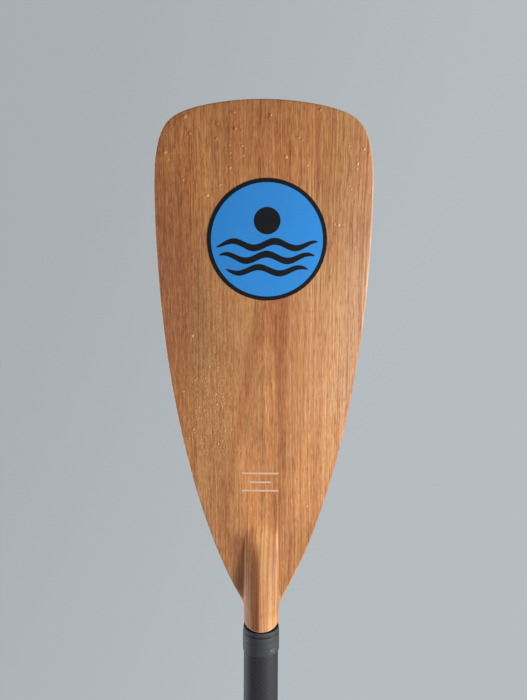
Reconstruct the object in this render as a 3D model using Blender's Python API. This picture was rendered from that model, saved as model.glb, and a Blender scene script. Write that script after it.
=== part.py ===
"""Adjustable stand-up paddleboard paddle, standing upright with its blade at the top.

Frame: +Z up along the shaft, origin on the shaft's axis at the crown of the T-grip,
the blade's front face towards -Y, the blade's width along X.
"""
import math

import bmesh
import bpy
import numpy as np
from mathutils import Vector

MM = 0.001

# ---------------------------------------------------------------- driving dimensions (mm)
GAP = 0.3                # gap between touching pieces

# shaft tubes
LOWER_R, LOWER_RI = 15.0, 13.8          # lower (blade) tube, outer and inner radius
MIDDLE_R, MIDDLE_RI = 15.0, 13.8
UPPER_R, UPPER_RI = 12.7, 11.2
UPPER_Z0, UPPER_Z1 = 61.0, 688.0        # inner telescoping tube
MIDDLE_Z0, MIDDLE_Z1 = 165.0, 800.0     # outer telescoping tube
LOWER_Z0 = 803.0                        # lower tube starts above the seam ring
THROAT_Z = 1220.0                       # where the blade's edges meet the neck

# blade
LEAN = 8.0               # degrees, blade leans forward of the shaft
TIP_S = 418.7            # throat to tip, measured along the blade
HALF_W = 86.45           # largest half-width
WIDE_S = 355.9           # where it is widest
THROAT_W = 13.42         # half-width of the plate at the throat
SIDE_A, SIDE_B = 2.18, 0.857            # fullness of the sides below the widest place
SHOULDER, SHOULDER_Q = 0.128, 2.188     # how much the sides draw in above it
TIP_R = 247.9            # radius of the tip's arc
CORNER_K = 5.6           # sharpness of the corners, side into arc
EDGE = 1.6               # half of the edge's thickness
CORE_LOW, CORE_TIP = 4.2, 2.6           # half-thickness of the middle, low down and at the tip
CORE_RUN = 38.0          # distance from the edge over which the thickness builds up
CROWN = 2.2              # how far the edges sweep back from the middle of the face
NECK_R = 15.1
NECK_STANDS = 46.0       # up to here the neck on the front face keeps its full width
BACK_FADE = 235.0        # where the spine has sunk into the back face
FAN_S = 352.0            # centre of the fan of rows that fills the tip
SPIGOT_R = 13.4
SPIGOT_LEN = 48.0        # below the collar

# collar between neck and shaft, from the throat down
COLLAR_TOP, COLLAR_BOT = 18.4, 38.6
COLLAR_R, COLLAR_LIP_R, COLLAR_RI = 15.85, 15.2, 13.7
COLLAR_CHAMFER = 4.4

# T-grip
GRIP_HALF_W, GRIP_HALF_D, GRIP_MID_Z = 57.0, 17.0, 18.0
GRIP_NECK_R, GRIP_NECK_Z = 13.8, 57.0
GRIP_SHOULDER_Z = UPPER_Z0 - GAP
GRIP_STEM_R, GRIP_STEM_Z = 10.9, 106.0
PAD_THICK, PAD_Z = 2.2, 20.0
RIVET_Z = 86.0

# clamp
CLAMP_Z0, CLAMP_Z1 = 162.2, 201.0
CLAMP_RI, CLAMP_RO = 15.3, 18.6
EAR_X, EAR_Y, SLIT = 30.0, 6.5, 1.75
PIN_X, PIN_Y = 24.5, -14.2
CAM_R, CAM_OFF = 5.0, 0.7
LEVER_H, EYE_H = 22.0, 10.0
LEVER_RI, LEVER_RO = 19.3, 22.9
CLAMP_MID = 0.5 * (CLAMP_Z0 + CLAMP_Z1)

# plug-in joint
FERRULE_R, FERRULE_RI = 13.5, 12.25
FERRULE_Z0, FERRULE_Z1 = 703.0, 875.0
BUTTON_Z, BUTTON_R, BUTTON_OUT = 752.0, 3.6, 17.3
FLANGE_FROM, FLANGE_BACK = 6.7, 7.6     # the button's flange, from its crown inwards

SEG = 32                 # facets round a tube


# ---------------------------------------------------------------- scene and materials
for old in list(bpy.data.objects):
    bpy.data.objects.remove(old, do_unlink=True)


def material(name, color, roughness, metallic=0.0, coat=0.0):
    mat = bpy.data.materials.new(name)
    mat.use_nodes = True
    shader = mat.node_tree.nodes.get("Principled BSDF")
    shader.inputs["Base Color"].default_value = (*color, 1.0)
    shader.inputs["Roughness"].default_value = roughness
    shader.inputs["Metallic"].default_value = metallic
    shader.inputs["Coat Weight"].default_value = coat
    return mat


MAT_WOOD = material("blade_veneer", (0.47, 0.19, 0.05), 0.30, 0.0, 0.8)
MAT_COLLAR = material("collar_plastic", (0.012, 0.012, 0.014), 0.45)
MAT_CARBON_LOW = material("lower_tube_carbon", (0.030, 0.030, 0.032), 0.55)
MAT_CARBON_MID = material("middle_tube_carbon", (0.028, 0.028, 0.030), 0.55)
MAT_UPPER = material("upper_tube_alloy", (0.10, 0.10, 0.11), 0.38, 0.3)
MAT_FERRULE = material("ferrule_carbon", (0.035, 0.035, 0.037), 0.40)
MAT_PLUG = material("end_plug_plastic", (0.02, 0.02, 0.022), 0.50)
MAT_FOAM_LOW = material("lower_foam", (0.62, 0.62, 0.60), 0.95)
MAT_FOAM_UP = material("upper_foam", (0.60, 0.60, 0.58), 0.95)
MAT_RUBBER = material("seam_rubber", (0.015, 0.015, 0.015), 0.75)
MAT_BUTTON = material("button_steel", (0.56, 0.57, 0.58), 0.25, 1.0)
MAT_CLIP = material("clip_steel", (0.50, 0.51, 0.52), 0.30, 1.0)
MAT_LINER = material("liner_nylon", (0.05, 0.05, 0.055), 0.50)
MAT_CLAMP = material("clamp_nylon", (0.018, 0.018, 0.020), 0.42)
MAT_LEVER = material("lever_nylon", (0.022, 0.022, 0.025), 0.36)
MAT_BOLT = material("bolt_steel", (0.52, 0.53, 0.54), 0.28, 1.0)
MAT_NUT = material("nut_alloy", (0.09, 0.09, 0.10), 0.35, 0.9)
MAT_PLATE = material("cam_plate_brass", (0.55, 0.42, 0.17), 0.32, 1.0)
MAT_PIN = material("pin_steel", (0.50, 0.50, 0.51), 0.30, 1.0)
MAT_BUSH = material("bush_acetal", (0.72, 0.72, 0.70), 0.45)
MAT_GRIP = material("grip_nylon", (0.020, 0.020, 0.022), 0.48)
MAT_PAD = material("pad_rubber", (0.030, 0.032, 0.035), 0.70)
MAT_RIVET = material("rivet_alloy", (0.60, 0.60, 0.61), 0.33, 1.0)


# ---------------------------------------------------------------- mesh helpers (lengths in mm)
def skin(loops, close_rows=False, cap_first=False, cap_last=False):
    """Mesh through rings of points. Points that coincide become one vertex."""
    bm = bmesh.new()
    known = {}

    def vert(p):
        key = (round(p[0], 4), round(p[1], 4), round(p[2], 4))
        if key not in known:
            known[key] = bm.verts.new((p[0] * MM, p[1] * MM, p[2] * MM))
        return known[key]

    rows = [[vert(p) for p in loop] for loop in loops]

    def face(vs):
        unique = []
        for v in vs:
            if v not in unique:
                unique.append(v)
        if len(unique) >= 3 and bm.faces.get(unique) is None:
            bm.faces.new(unique)

    pairs = list(zip(rows, rows[1:]))
    if close_rows:
        pairs.append((rows[-1], rows[0]))
    for a, b in pairs:
        n = len(a)
        for i in range(n):
            j = (i + 1) % n
            face([a[i], a[j], b[j], b[i]])
    if cap_first:
        face(rows[0])
    if cap_last:
        face(rows[-1])
    bmesh.ops.recalc_face_normals(bm, faces=bm.faces)
    return bm


def lathe(profile, closed, seg=SEG, phase=0.0, centre=(0.0, 0.0)):
    """Turn a profile of (radius, z) about Z. closed: the profile is a loop."""
    loops = []
    for r, z in profile:
        loops.append([(centre[0] + r * math.cos(phase + 2 * math.pi * k / seg),
                       centre[1] + r * math.sin(phase + 2 * math.pi * k / seg), z)
                      for k in range(seg)])
    return skin(loops, close_rows=closed)


def tube(r_out, r_in, z0, z1, chamfer=0.4, seg=SEG, phase=0.0):
    c = chamfer
    return lathe([(r_in, z0), (r_out - c, z0), (r_out, z0 + c), (r_out, z1 - c),
                  (r_out - c, z1), (r_in, z1)], True, seg, phase)


def rod(r, z0, z1, chamfer=0.4, seg=24, phase=0.0, centre=(0.0, 0.0)):
    c = chamfer
    return lathe([(0, z0), (r - c, z0), (r, z0 + c), (r, z1 - c), (r - c, z1), (0, z1)],
                 False, seg, phase, centre)


def extrude(outline, z0, z1):
    """Prism over a simple outline of (x, y) points."""
    bm = bmesh.new()
    base = [bm.verts.new((x * MM, y * MM, z0 * MM)) for x, y in outline]
    face = bm.faces.new(base)
    top = bmesh.ops.extrude_face_region(bm, geom=[face])
    moved = [g for g in top["geom"] if isinstance(g, bmesh.types.BMVert)]
    bmesh.ops.translate(bm, verts=moved, vec=(0, 0, (z1 - z0) * MM))
    bmesh.ops.recalc_face_normals(bm, faces=bm.faces)
    return bm


def block(x0, x1, y0, y1, z0, z1):
    return extrude([(x0, y0), (x1, y0), (x1, y1), (x0, y1)], z0, z1)


def lay(bm, axis, at):
    """Turn a piece modelled about Z so that +Z points along axis, then move it to at (mm)."""
    turn = Vector((0, 0, 1)).rotation_difference(Vector(axis)).to_matrix()
    bmesh.ops.rotate(bm, cent=(0, 0, 0), matrix=turn, verts=bm.verts)
    bmesh.ops.translate(bm, vec=[a * MM for a in at], verts=bm.verts)
    return bm


def finish(name, bm, mat, origin=(0.0, 0.0, 0.0), parent=None, sharp=32.0):
    """Object whose mesh was modelled in world space; origin (mm) becomes its own origin."""
    org = Vector([c * MM for c in origin])
    bmesh.ops.translate(bm, vec=-org, verts=bm.verts)
    mesh = bpy.data.meshes.new(name)
    bm.to_mesh(mesh)
    bm.free()
    mesh.shade_smooth()
    mesh.set_sharp_from_angle(angle=math.radians(sharp))
    obj = bpy.data.objects.new(name, mesh)
    bpy.context.scene.collection.objects.link(obj)
    obj.location = org
    if mat is not None:
        mesh.materials.append(mat)
    if parent is not None:
        obj.parent = parent
        obj.location = org - parent.location
    return obj


def guide(name, bm, parent=None):
    obj = finish(name, bm, None, parent=parent)
    obj.hide_render = True
    obj.display_type = 'WIRE'
    return obj


def carve(obj, other, operation='DIFFERENCE'):
    mod = obj.modifiers.new(other.name, 'BOOLEAN')
    mod.operation = operation
    mod.solver = 'EXACT'
    mod.object = other
    return mod


def frame_empty(name, at=(0.0, 0.0, 0.0)):
    obj = bpy.data.objects.new(name, None)
    bpy.context.scene.collection.objects.link(obj)
    obj.location = [c * MM for c in at]
    return obj


HANDLE = frame_empty("handle_section_axis")
MIDDLE = frame_empty("middle_section_axis")
BLADE = frame_empty("blade_section_axis")


# ---------------------------------------------------------------- blade
def smooth_max(a, b, k):
    return 0.5 * (a + b + math.sqrt((a - b) ** 2 + k * k))


def smooth_step(t):
    t = min(max(t, 0.0), 1.0)
    return t * t * (3 - 2 * t)


def plate_half_width(s):
    """Half-width of the blade plate at s along the blade."""
    if s < 0:
        return THROAT_W + 0.9 * s
    if s < WIDE_S:
        t = (WIDE_S - s) / WIDE_S
        side = THROAT_W + (HALF_W - THROAT_W) * (1 - t ** SIDE_A) ** SIDE_B
    else:
        side = HALF_W * (1 - SHOULDER * ((s - WIDE_S) / (TIP_S - WIDE_S)) ** SHOULDER_Q)
    arc = math.sqrt(max(2 * TIP_R * (TIP_S - s), 1e-9))
    return (side ** -CORNER_K + arc ** -CORNER_K) ** (-1 / CORNER_K)


def half_width(s):
    return smooth_max(plate_half_width(s), NECK_R, 2.0)


def outline_hit(theta):
    """Where a ray from the fan's centre at theta above horizontal meets the outline."""
    if theta > math.pi / 2 - 1e-6:
        return 0.0, TIP_S
    low, high = FAN_S, TIP_S
    for _ in range(50):
        mid = 0.5 * (low + high)
        x = plate_half_width(mid)
        if math.atan2(mid - FAN_S, x) < theta:
            low = mid
        else:
            high = mid
    s = 0.5 * (low + high)
    return plate_half_width(s), s


def neck_span(s):
    """Half-width of the raised neck where it stands on the plate."""
    return NECK_R + 0.45 - 1.35 * smooth_step((s - NECK_STANDS) / 24.0)


def neck_front(x, s):
    """Height of the neck above the middle plane, on the front. Its crown goes straight up while
    the plate leans out to meet it, and its sides get steeper towards its blunt end."""
    up = max(s, 0.0)
    rise = NECK_R - up * math.sin(math.radians(LEAN)) - 4.0 * smooth_step((up - 64.0) / 18.0)
    span = half_width(s) if s <= 0 else min(half_width(s), neck_span(s))
    p = 2.0 + 0.5 * smooth_step((up - 40.0) / 20.0) + 1.3 * smooth_step((up - 54.0) / 18.0)
    u = min(abs(x) / span, 1.0)
    return max(rise, 0.0) * max(1 - u ** p, 0.0) ** (1 / p)


def spine_back(x, s):
    """Height of the spine above the middle plane, on the back."""
    t = min(max(s, 0) / BACK_FADE, 1.0)
    rise = NECK_R * (1 - t ** 1.35)
    span = half_width(s) if s <= 0 else min(half_width(s), NECK_R + 0.5 - 8.5 * smooth_step(t))
    u = min(abs(x) / span, 1.0)
    return rise * max(1 - u * u, 0.0) ** 0.5


def plate(s, d):
    """Half-thickness of the plate at s, d away from its edge."""
    if d < EDGE:
        return math.sqrt(max(EDGE * EDGE - (EDGE - d) ** 2, 0.0))
    middle = CORE_LOW + (CORE_TIP - CORE_LOW) * smooth_step(s / TIP_S)
    return EDGE + (middle - EDGE) * smooth_step((d - EDGE) / CORE_RUN)


def lean_at(s):
    return math.radians(LEAN) * smooth_step((s + 12.0) / 24.0)


def spine_line(s):
    """Point (y, z) of the blade's middle line at s, its slope there."""
    steps = 24
    if s <= -12.0:
        return 0.0, THROAT_Z + s, 0.0
    y, z = 0.0, THROAT_Z - 12.0
    end = min(s, 12.0)
    h = (end + 12.0) / steps
    for k in range(steps):
        a = lean_at(-12.0 + (k + 0.5) * h)
        y -= math.sin(a) * h
        z += math.cos(a) * h
    if s > 12.0:
        a = math.radians(LEAN)
        y -= math.sin(a) * (s - 12.0)
        z += math.cos(a) * (s - 12.0)
    return y, z, lean_at(s)


def to_world(x, s, off):
    """off: distance in front of the middle plane."""
    y, z, a = spine_line(s)
    off -= CROWN * (x / HALF_W) ** 2 * smooth_step(s / 120.0)
    return x, y - off * math.cos(a), z - off * math.sin(a)


EDGE_COLUMNS = [0.0, 0.10 * EDGE, 0.38 * EDGE, 1.0 * EDGE]
EVEN_COLUMNS = [0.0, 0.12, 0.24, 0.36, 0.48, 0.60, 0.71, 0.82, 0.92]
NECK_COLUMNS = [0.0, 0.42, 0.72, 0.88, 0.97, 1.05]      # shares of the neck's half-width
SIDE_COLUMNS = [0.12, 0.42, 0.78]                       # shares of what is left beside it


def blade_row(hit, centre, slant, fit=0.0):
    """Ring through one row: hit = (x, s) on the outline, centre = s of the row's middle. fit: how
    far the columns crowd at the foot of the neck."""
    x_edge, s_edge = hit
    length = math.hypot(x_edge, s_edge - centre)
    sheer = max(slant, 0.2)
    room = 3.0 * EDGE / sheer
    reach = 1 - min(room / length, 0.35)
    ratios = [c * reach for c in EVEN_COLUMNS]
    if fit > 0:
        foot = min(neck_span(s_edge) / half_width(s_edge), reach * 0.85)
        snug = [c * foot for c in NECK_COLUMNS]
        snug += [snug[-1] + (reach - snug[-1]) * c for c in SIDE_COLUMNS]
        ratios = [a * (1 - fit) + b * fit for a, b in zip(ratios, snug)]
    ratios += [1 - min(d / sheer / length, 0.3) for d in reversed(EDGE_COLUMNS)]
    front, back = [], []
    for q in ratios:
        x = x_edge * q
        s = centre + (s_edge - centre) * q
        d = (1 - q) * length * sheer
        h = plate(max(s, 0.0), d)
        fade = smooth_step(s / 25.0) * smooth_step(d / 6.0)
        soft = (0.35 + 0.9 * smooth_step((s - 62.0) / 14.0)) * fade
        f = smooth_max(h, neck_front(x, s), soft) if s > 0 else neck_front(x, s)
        b = smooth_max(h, spine_back(x, s), 1.6 * fade) if s > 0 else spine_back(x, s)
        if q > 1 - 1e-9:
            f = b = 0.0
        front.append((x, s, f))
        back.append((x, s, -b))
    ring = [front[j] for j in range(len(front) - 1, -1, -1)]
    ring += [(-front[j][0], front[j][1], front[j][2]) for j in range(1, len(front))]
    ring += [(-back[j][0], back[j][1], back[j][2]) for j in range(len(back) - 2, -1, -1)]
    ring += [back[j] for j in range(1, len(back) - 1)]
    return [to_world(*p) for p in ring]


def blade_mesh():
    stations = [-COLLAR_TOP + GAP, -12.0, -6.0, -2.0, 1.5, 4.5, 8.0, 12.0, 17.0, 23.0, 30.0, 38.0,
                46.0, 54.0, 61.0, 67.0, 73.0, 80.0, 90.0, 102.0, 116.0, 132.0, 150.0, 170.0,
                190.0, 212.0, 235.0, 260.0, 285.0, 310.0, 332.0, FAN_S]
    rows = []
    for s in stations:
        slope = (half_width(s + 0.5) - half_width(s - 0.5))
        fit = smooth_step((half_width(s) - neck_span(s) - 1.0) / 6.0) if s > 0 else 0.0
        fit *= 1 - smooth_step((s - 84.0) / 70.0)
        rows.append(blade_row((half_width(s), s), s, 1 / math.hypot(1, slope), fit))
    fan = 20
    for k in range(1, fan + 1):
        theta = 0.5 * math.pi * k / fan
        a, b = outline_hit(theta - 0.01), outline_hit(min(theta + 0.01, math.pi / 2))
        if k == fan:
            b = (-a[0], a[1])
        run = Vector((b[0] - a[0], b[1] - a[1])).normalized()
        ray = Vector((math.cos(theta), math.sin(theta)))
        slant = abs(ray.x * run.y - ray.y * run.x)
        rows.append(blade_row(outline_hit(theta), FAN_S, slant))
    neck = rows[0]
    z_low = THROAT_Z - COLLAR_BOT - SPIGOT_LEN

    def ring_at(r, z):
        out = []
        for p in neck:
            reach = math.hypot(p[0], p[1])
            out.append((p[0] * r / reach, p[1] * r / reach, z))
        return out

    z_shoulder = neck[0][2]
    down = [ring_at(SPIGOT_R - 1.2, z_low), ring_at(SPIGOT_R, z_low + 1.2),
            ring_at(SPIGOT_R, z_shoulder), ring_at(NECK_R - 0.5, z_shoulder),
            ring_at(NECK_R, z_shoulder + 0.5)]
    return skin(down + rows[1:], cap_first=True)


finish("blade", blade_mesh(), MAT_WOOD, origin=(0, 0, THROAT_Z), parent=BLADE, sharp=40)

zc1 = THROAT_Z - COLLAR_TOP
zc0 = THROAT_Z - COLLAR_BOT
finish("shaft_collar", lathe([(COLLAR_RI, zc0), (COLLAR_R - 0.6, zc0), (COLLAR_R, zc0 + 0.6),
                              (COLLAR_R, zc1 - COLLAR_CHAMFER), (COLLAR_LIP_R, zc1 - 0.5),
                              (COLLAR_LIP_R - 0.5, zc1), (COLLAR_RI, zc1)], True, 36),
       MAT_COLLAR, parent=BLADE)

# ---------------------------------------------------------------- lower (blade) tube and joint
finish("lower_tube", tube(LOWER_R, LOWER_RI, LOWER_Z0, zc0 - GAP), MAT_CARBON_LOW, parent=BLADE)
finish("lower_foam_plug", rod(LOWER_RI - GAP, 940.0, 985.0, 1.0, 24), MAT_FOAM_LOW, parent=BLADE)
finish("seam_ring", lathe([(MIDDLE_RI, MIDDLE_Z1 + GAP), (15.2, MIDDLE_Z1 + GAP),
                           (15.7, MIDDLE_Z1 + 0.9), (15.7, LOWER_Z0 - 0.9),
                           (15.2, LOWER_Z0 - GAP), (MIDDLE_RI, LOWER_Z0 - GAP)], True),
       MAT_RUBBER, parent=BLADE)

ferrule = finish("joint_ferrule", tube(FERRULE_R, FERRULE_RI, FERRULE_Z0, FERRULE_Z1),
                 MAT_FERRULE, parent=BLADE)
button_hole = guide("button_hole_cut", lay(rod(BUTTON_R + GAP, 0, 12, 0.0, 24), (0, -1, 0),
                                           (0, -10, BUTTON_Z)), parent=BLADE)
carve(ferrule, button_hole)
finish("ferrule_plug", lathe([(0, 700.6), (FERRULE_R - 0.8, 700.6), (FERRULE_R - GAP, 701.2),
                              (FERRULE_R - GAP, FERRULE_Z0 - GAP),
                              (FERRULE_RI - GAP, FERRULE_Z0 - GAP),
                              (FERRULE_RI - GAP, 714.0), (FERRULE_RI - 1.0, 715.0), (0, 715.0)],
                             False, 24), MAT_PLUG, parent=BLADE)

# button: a domed pin with a flange that stays inside the ferrule
dome = [(0.0, 0.0), (1.6, 0.25), (2.8, 0.9), (BUTTON_R, 2.0), (BUTTON_R, FLANGE_FROM),
        (5.0, FLANGE_FROM), (5.0, FLANGE_BACK), (0.0, FLANGE_BACK)]
finish("snap_button", lay(lathe(dome, False, 24), (0, 1, 0), (0, -BUTTON_OUT, BUTTON_Z)),
       MAT_BUTTON, origin=(0, -BUTTON_OUT, BUTTON_Z), parent=BLADE)


def snap_clip():
    """V of spring strip inside the ferrule: button leg, bend, back leg."""
    thick, half = 0.7, 4.0
    front = -BUTTON_OUT + FLANGE_BACK + GAP + thick / 2
    line = [(front, BUTTON_Z - 8.0), (front, BUTTON_Z + 7.0)]
    bend_z, bend_r = BUTTON_Z + 62.0, 3.0
    for k in range(9):
        a = math.pi * (1 - k / 8)
        line.append((bend_r * math.cos(a), bend_z + bend_r * math.sin(a)))
    line += [(8.6, BUTTON_Z + 7.0), (10.2, BUTTON_Z - 2.0), (9.2, BUTTON_Z - 9.0)]
    left, right = [], []
    for i, p in enumerate(line):
        a = Vector(line[max(i - 1, 0)])
        b = Vector(line[min(i + 1, len(line) - 1)])
        t = (b - a).normalized()
        n = Vector((-t.y, t.x)) * thick / 2
        left.append((p[0] + n.x, p[1] + n.y))
        right.append((p[0] - n.x, p[1] - n.y))
    loops = []
    for a, b in zip(left, right):
        loops.append([(-half, a[0], a[1]), (half, a[0], a[1]), (half, b[0], b[1]),
                      (-half, b[0], b[1])])
    return skin(loops, cap_first=True, cap_last=True)


finish("snap_clip", snap_clip(), MAT_CLIP, parent=BLADE)

# ---------------------------------------------------------------- middle tube and its clamp
middle = finish("middle_tube", tube(MIDDLE_R, MIDDLE_RI, MIDDLE_Z0, MIDDLE_Z1), MAT_CARBON_MID,
                parent=MIDDLE)
carve(middle, guide("middle_button_cut", lay(rod(BUTTON_R + GAP, 0, 12, 0.0, 24), (0, -1, 0),
                                             (0, -10, BUTTON_Z)), parent=MIDDLE))
carve(middle, guide("clamp_slot_cut", block(10, 20, -1.2, 1.2, MIDDLE_Z0 - 2, MIDDLE_Z0 + 34),
                    parent=MIDDLE))

liner = finish("guide_liner", lathe([(UPPER_R + 0.25, CLAMP_Z0), (MIDDLE_R, CLAMP_Z0),
                                     (MIDDLE_R, MIDDLE_Z0 - GAP),
                                     (MIDDLE_RI - GAP, MIDDLE_Z0 - GAP),
                                     (MIDDLE_RI - GAP, 205.0), (UPPER_R + 0.25, 205.0)], True),
               MAT_LINER, parent=MIDDLE)
carve(liner, guide("liner_key", block(-13.3, -UPPER_R + 0.4, -1.4, 1.4, CLAMP_Z0 + 1, 204.0),
                   parent=MIDDLE), 'UNION')
carve(liner, guide("liner_slit_cut", block(10, 20, -0.8, 0.8, CLAMP_Z0 - 2, 207.0),
                   parent=MIDDLE))


def clamp_outline():
    n = 40
    g_in = math.asin(SLIT / CLAMP_RI)
    g_out = math.asin(EAR_Y / CLAMP_RO)
    pts = []
    for k in range(n + 1):
        a = g_in + (2 * math.pi - 2 * g_in) * k / n
        pts.append((CLAMP_RI * math.cos(a), CLAMP_RI * math.sin(a)))
    pts += [(EAR_X - 1.2, -SLIT), (EAR_X, -SLIT - 1.0), (EAR_X, -EAR_Y + 1.6),
            (EAR_X - 1.6, -EAR_Y)]
    for k in range(n + 1):
        a = -g_out - (2 * math.pi - 2 * g_out) * k / n
        pts.append((CLAMP_RO * math.cos(a), CLAMP_RO * math.sin(a)))
    pts += [(EAR_X - 1.6, EAR_Y), (EAR_X, EAR_Y - 1.6), (EAR_X, SLIT + 1.0), (EAR_X - 1.2, SLIT)]
    return pts


clamp = finish("clamp_collar", extrude(clamp_outline(), CLAMP_Z0, CLAMP_Z1), MAT_CLAMP,
               parent=MIDDLE)
carve(clamp, guide("ear_hole_cut", lay(rod(2.8, -12, 12, 0.0, 20), (0, 1, 0),
                                       (PIN_X, 0, CLAMP_MID)), parent=MIDDLE))
for side, z0, z1 in (("low", CLAMP_Z0 - 5, CLAMP_MID - 13.5), ("high", CLAMP_MID + 13.5, CLAMP_Z1 + 5)):
    carve(clamp, guide("ear_%s_cut" % side, block(19.5, 40, -10, 10, z0, z1), parent=MIDDLE))

bolt = finish("clamp_bolt", lay(rod(2.4, 0, 26.6, 0.5, 20), (0, 1, 0), (PIN_X, PIN_Y, CLAMP_MID)),
              MAT_BOLT, parent=MIDDLE)
carve(bolt, guide("bolt_eye", rod(4.4, CLAMP_MID - EYE_H / 2, CLAMP_MID + EYE_H / 2, 0.4, 24,
                                  centre=(PIN_X, PIN_Y)), parent=MIDDLE), 'UNION')
carve(bolt, guide("bolt_eye_cut", rod(2.3, CLAMP_MID - 9, CLAMP_MID + 9, 0.0, 24,
                                      centre=(PIN_X, PIN_Y)), parent=MIDDLE))

finish("lever_pin", rod(2.0, CLAMP_MID - LEVER_H / 2 - 0.6, CLAMP_MID + LEVER_H / 2 + 0.6, 0.4, 24,
                        centre=(PIN_X, PIN_Y)), MAT_PIN, parent=MIDDLE)

cam_y = PIN_Y + CAM_OFF + CAM_R + GAP
cam_plate = finish("cam_plate", block(PIN_X - 4.2, PIN_X + 4.2, cam_y, -EAR_Y - GAP,
                                      CLAMP_MID - 11.5, CLAMP_MID + 11.5), MAT_PLATE,
                   parent=MIDDLE)
carve(cam_plate, guide("cam_plate_cut", lay(rod(2.7, -20, 0, 0.0, 20), (0, 1, 0),
                                            (PIN_X, 0, CLAMP_MID)), parent=MIDDLE))


def nut_outline():
    """Knurled rim: a smooth wave of 14 lobes."""
    n = 56
    return [((5.6 + 0.35 * math.cos(14 * 2 * math.pi * k / n)) * math.cos(2 * math.pi * k / n),
             (5.6 + 0.35 * math.cos(14 * 2 * math.pi * k / n)) * math.sin(2 * math.pi * k / n))
            for k in range(n)]


nut = finish("adjust_nut", lay(extrude(nut_outline(), 0, 8.2), (0, 1, 0),
                               (PIN_X, EAR_Y + GAP, CLAMP_MID)), MAT_NUT, parent=MIDDLE)
carve(nut, guide("nut_hole_cut", lay(rod(2.7, -2, 6.1, 0.0, 20), (0, 1, 0),
                                     (PIN_X, EAR_Y + GAP, CLAMP_MID)), parent=MIDDLE))


def lever_outline():
    a0, a1, n = math.radians(-152), math.radians(-58), 18
    pts = [(LEVER_RO * math.cos(a0 + (a1 - a0) * k / n), LEVER_RO * math.sin(a0 + (a1 - a0) * k / n))
           for k in range(n + 1)]
    cy = PIN_Y + CAM_OFF
    for k in range(15):
        a = math.radians(-95 + 268 * k / 14)
        pts.append((PIN_X + CAM_R * math.cos(a), cy + CAM_R * math.sin(a)))
    pts += [(LEVER_RI * math.cos(a1 + (a0 - a1) * k / n), LEVER_RI * math.sin(a1 + (a0 - a1) * k / n))
            for k in range(n + 1)]
    return pts


lever = finish("clamp_lever", extrude(lever_outline(), CLAMP_MID - LEVER_H / 2,
                                      CLAMP_MID + LEVER_H / 2), MAT_LEVER,
               origin=(PIN_X, PIN_Y, CLAMP_MID), parent=MIDDLE)
carve(lever, guide("lever_pin_cut", rod(2.3, CLAMP_MID - 20, CLAMP_MID + 20, 0.0, 24,
                                        centre=(PIN_X, PIN_Y)), parent=MIDDLE))
carve(lever, guide("lever_fork_cut", rod(7.2, CLAMP_MID - EYE_H / 2 - GAP,
                                         CLAMP_MID + EYE_H / 2 + GAP, 0.0, 32,
                                         centre=(PIN_X, PIN_Y)), parent=MIDDLE))

# ---------------------------------------------------------------- upper tube and grip
upper = finish("upper_tube", tube(UPPER_R, UPPER_RI, UPPER_Z0, UPPER_Z1), MAT_UPPER,
               parent=HANDLE)
carve(upper, guide("key_groove_cut", block(-14, -UPPER_R + 0.75, -1.8, 1.8, 124, UPPER_Z1 + 5),
                   parent=HANDLE))
for side, sign in (("front", -1), ("back", 1)):
    carve(upper, guide("rivet_%s_cut" % side, lay(rod(1.9, 5, 16, 0.0, 16), (0, sign, 0),
                                                  (0, 0, RIVET_Z)), parent=HANDLE))

finish("end_bush", lathe([(8.5, 666.0), (UPPER_RI - GAP - 0.4, 666.0), (UPPER_RI - GAP, 666.6),
                          (UPPER_RI - GAP, UPPER_Z1 + GAP), (MIDDLE_RI - GAP, UPPER_Z1 + GAP),
                          (MIDDLE_RI - GAP, 699.8), (MIDDLE_RI - 0.9, 700.3), (8.5, 700.3)], True, 24),
       MAT_BUSH, parent=HANDLE)
finish("upper_foam_plug", rod(UPPER_RI - GAP, 130.0, 172.0, 1.0, 24), MAT_FOAM_UP, parent=HANDLE)


def grip_half(z, inset):
    """Half-width, half-depth and squareness of the grip's section at z."""
    low = (GRIP_MID_Z - z) / (GRIP_MID_Z - inset)
    wide, deep = GRIP_HALF_W - inset, GRIP_HALF_D - inset
    if z < GRIP_MID_Z:
        return (wide * max(1 - low ** 2.6, 0) ** (1 / 2.6), deep * max(1 - low ** 2.0, 0) ** 0.5, 2.4)
    t = min((z - GRIP_MID_Z) / (GRIP_NECK_Z - GRIP_MID_Z), 1.0)
    fall = (0.5 + 0.5 * math.cos(math.pi * t)) ** 1.25
    return (GRIP_NECK_R + (wide - GRIP_NECK_R) * fall,
            GRIP_NECK_R + (deep - GRIP_NECK_R) * (1 - smooth_step(t)), 2.0 + 0.4 * (1 - t))


def grip_ring(a, b, p, z, n=36):
    out = []
    for k in range(n):
        ang = 2 * math.pi * k / n
        c, s = math.cos(ang), math.sin(ang)
        out.append((a * math.copysign(abs(c) ** (2 / p), c), b * math.copysign(abs(s) ** (2 / p), s), z))
    return out


def dome_rows(inset, rows=7):
    """Rings of the palm side, crown first."""
    out = []
    for k in range(rows):
        z = GRIP_MID_Z - (GRIP_MID_Z - inset) * math.cos(0.5 * math.pi * k / rows)
        out.append(grip_ring(*grip_half(z, inset), z))
    return out


outer_dome = dome_rows(0.0)
pad_outer = outer_dome + [grip_ring(*grip_half(GRIP_MID_Z, 0.0), GRIP_MID_Z),
                          grip_ring(*grip_half(PAD_Z, 0.0), PAD_Z)]
inner_dome = dome_rows(PAD_THICK)
wide, deep, square = grip_half(GRIP_MID_Z, PAD_THICK)
pad_inner = inner_dome + [grip_ring(wide, deep, square, GRIP_MID_Z),
                          grip_ring(wide, deep, square, PAD_Z)]
finish("grip_pad", skin(pad_outer + pad_inner[::-1]), MAT_PAD, parent=HANDLE)

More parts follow.
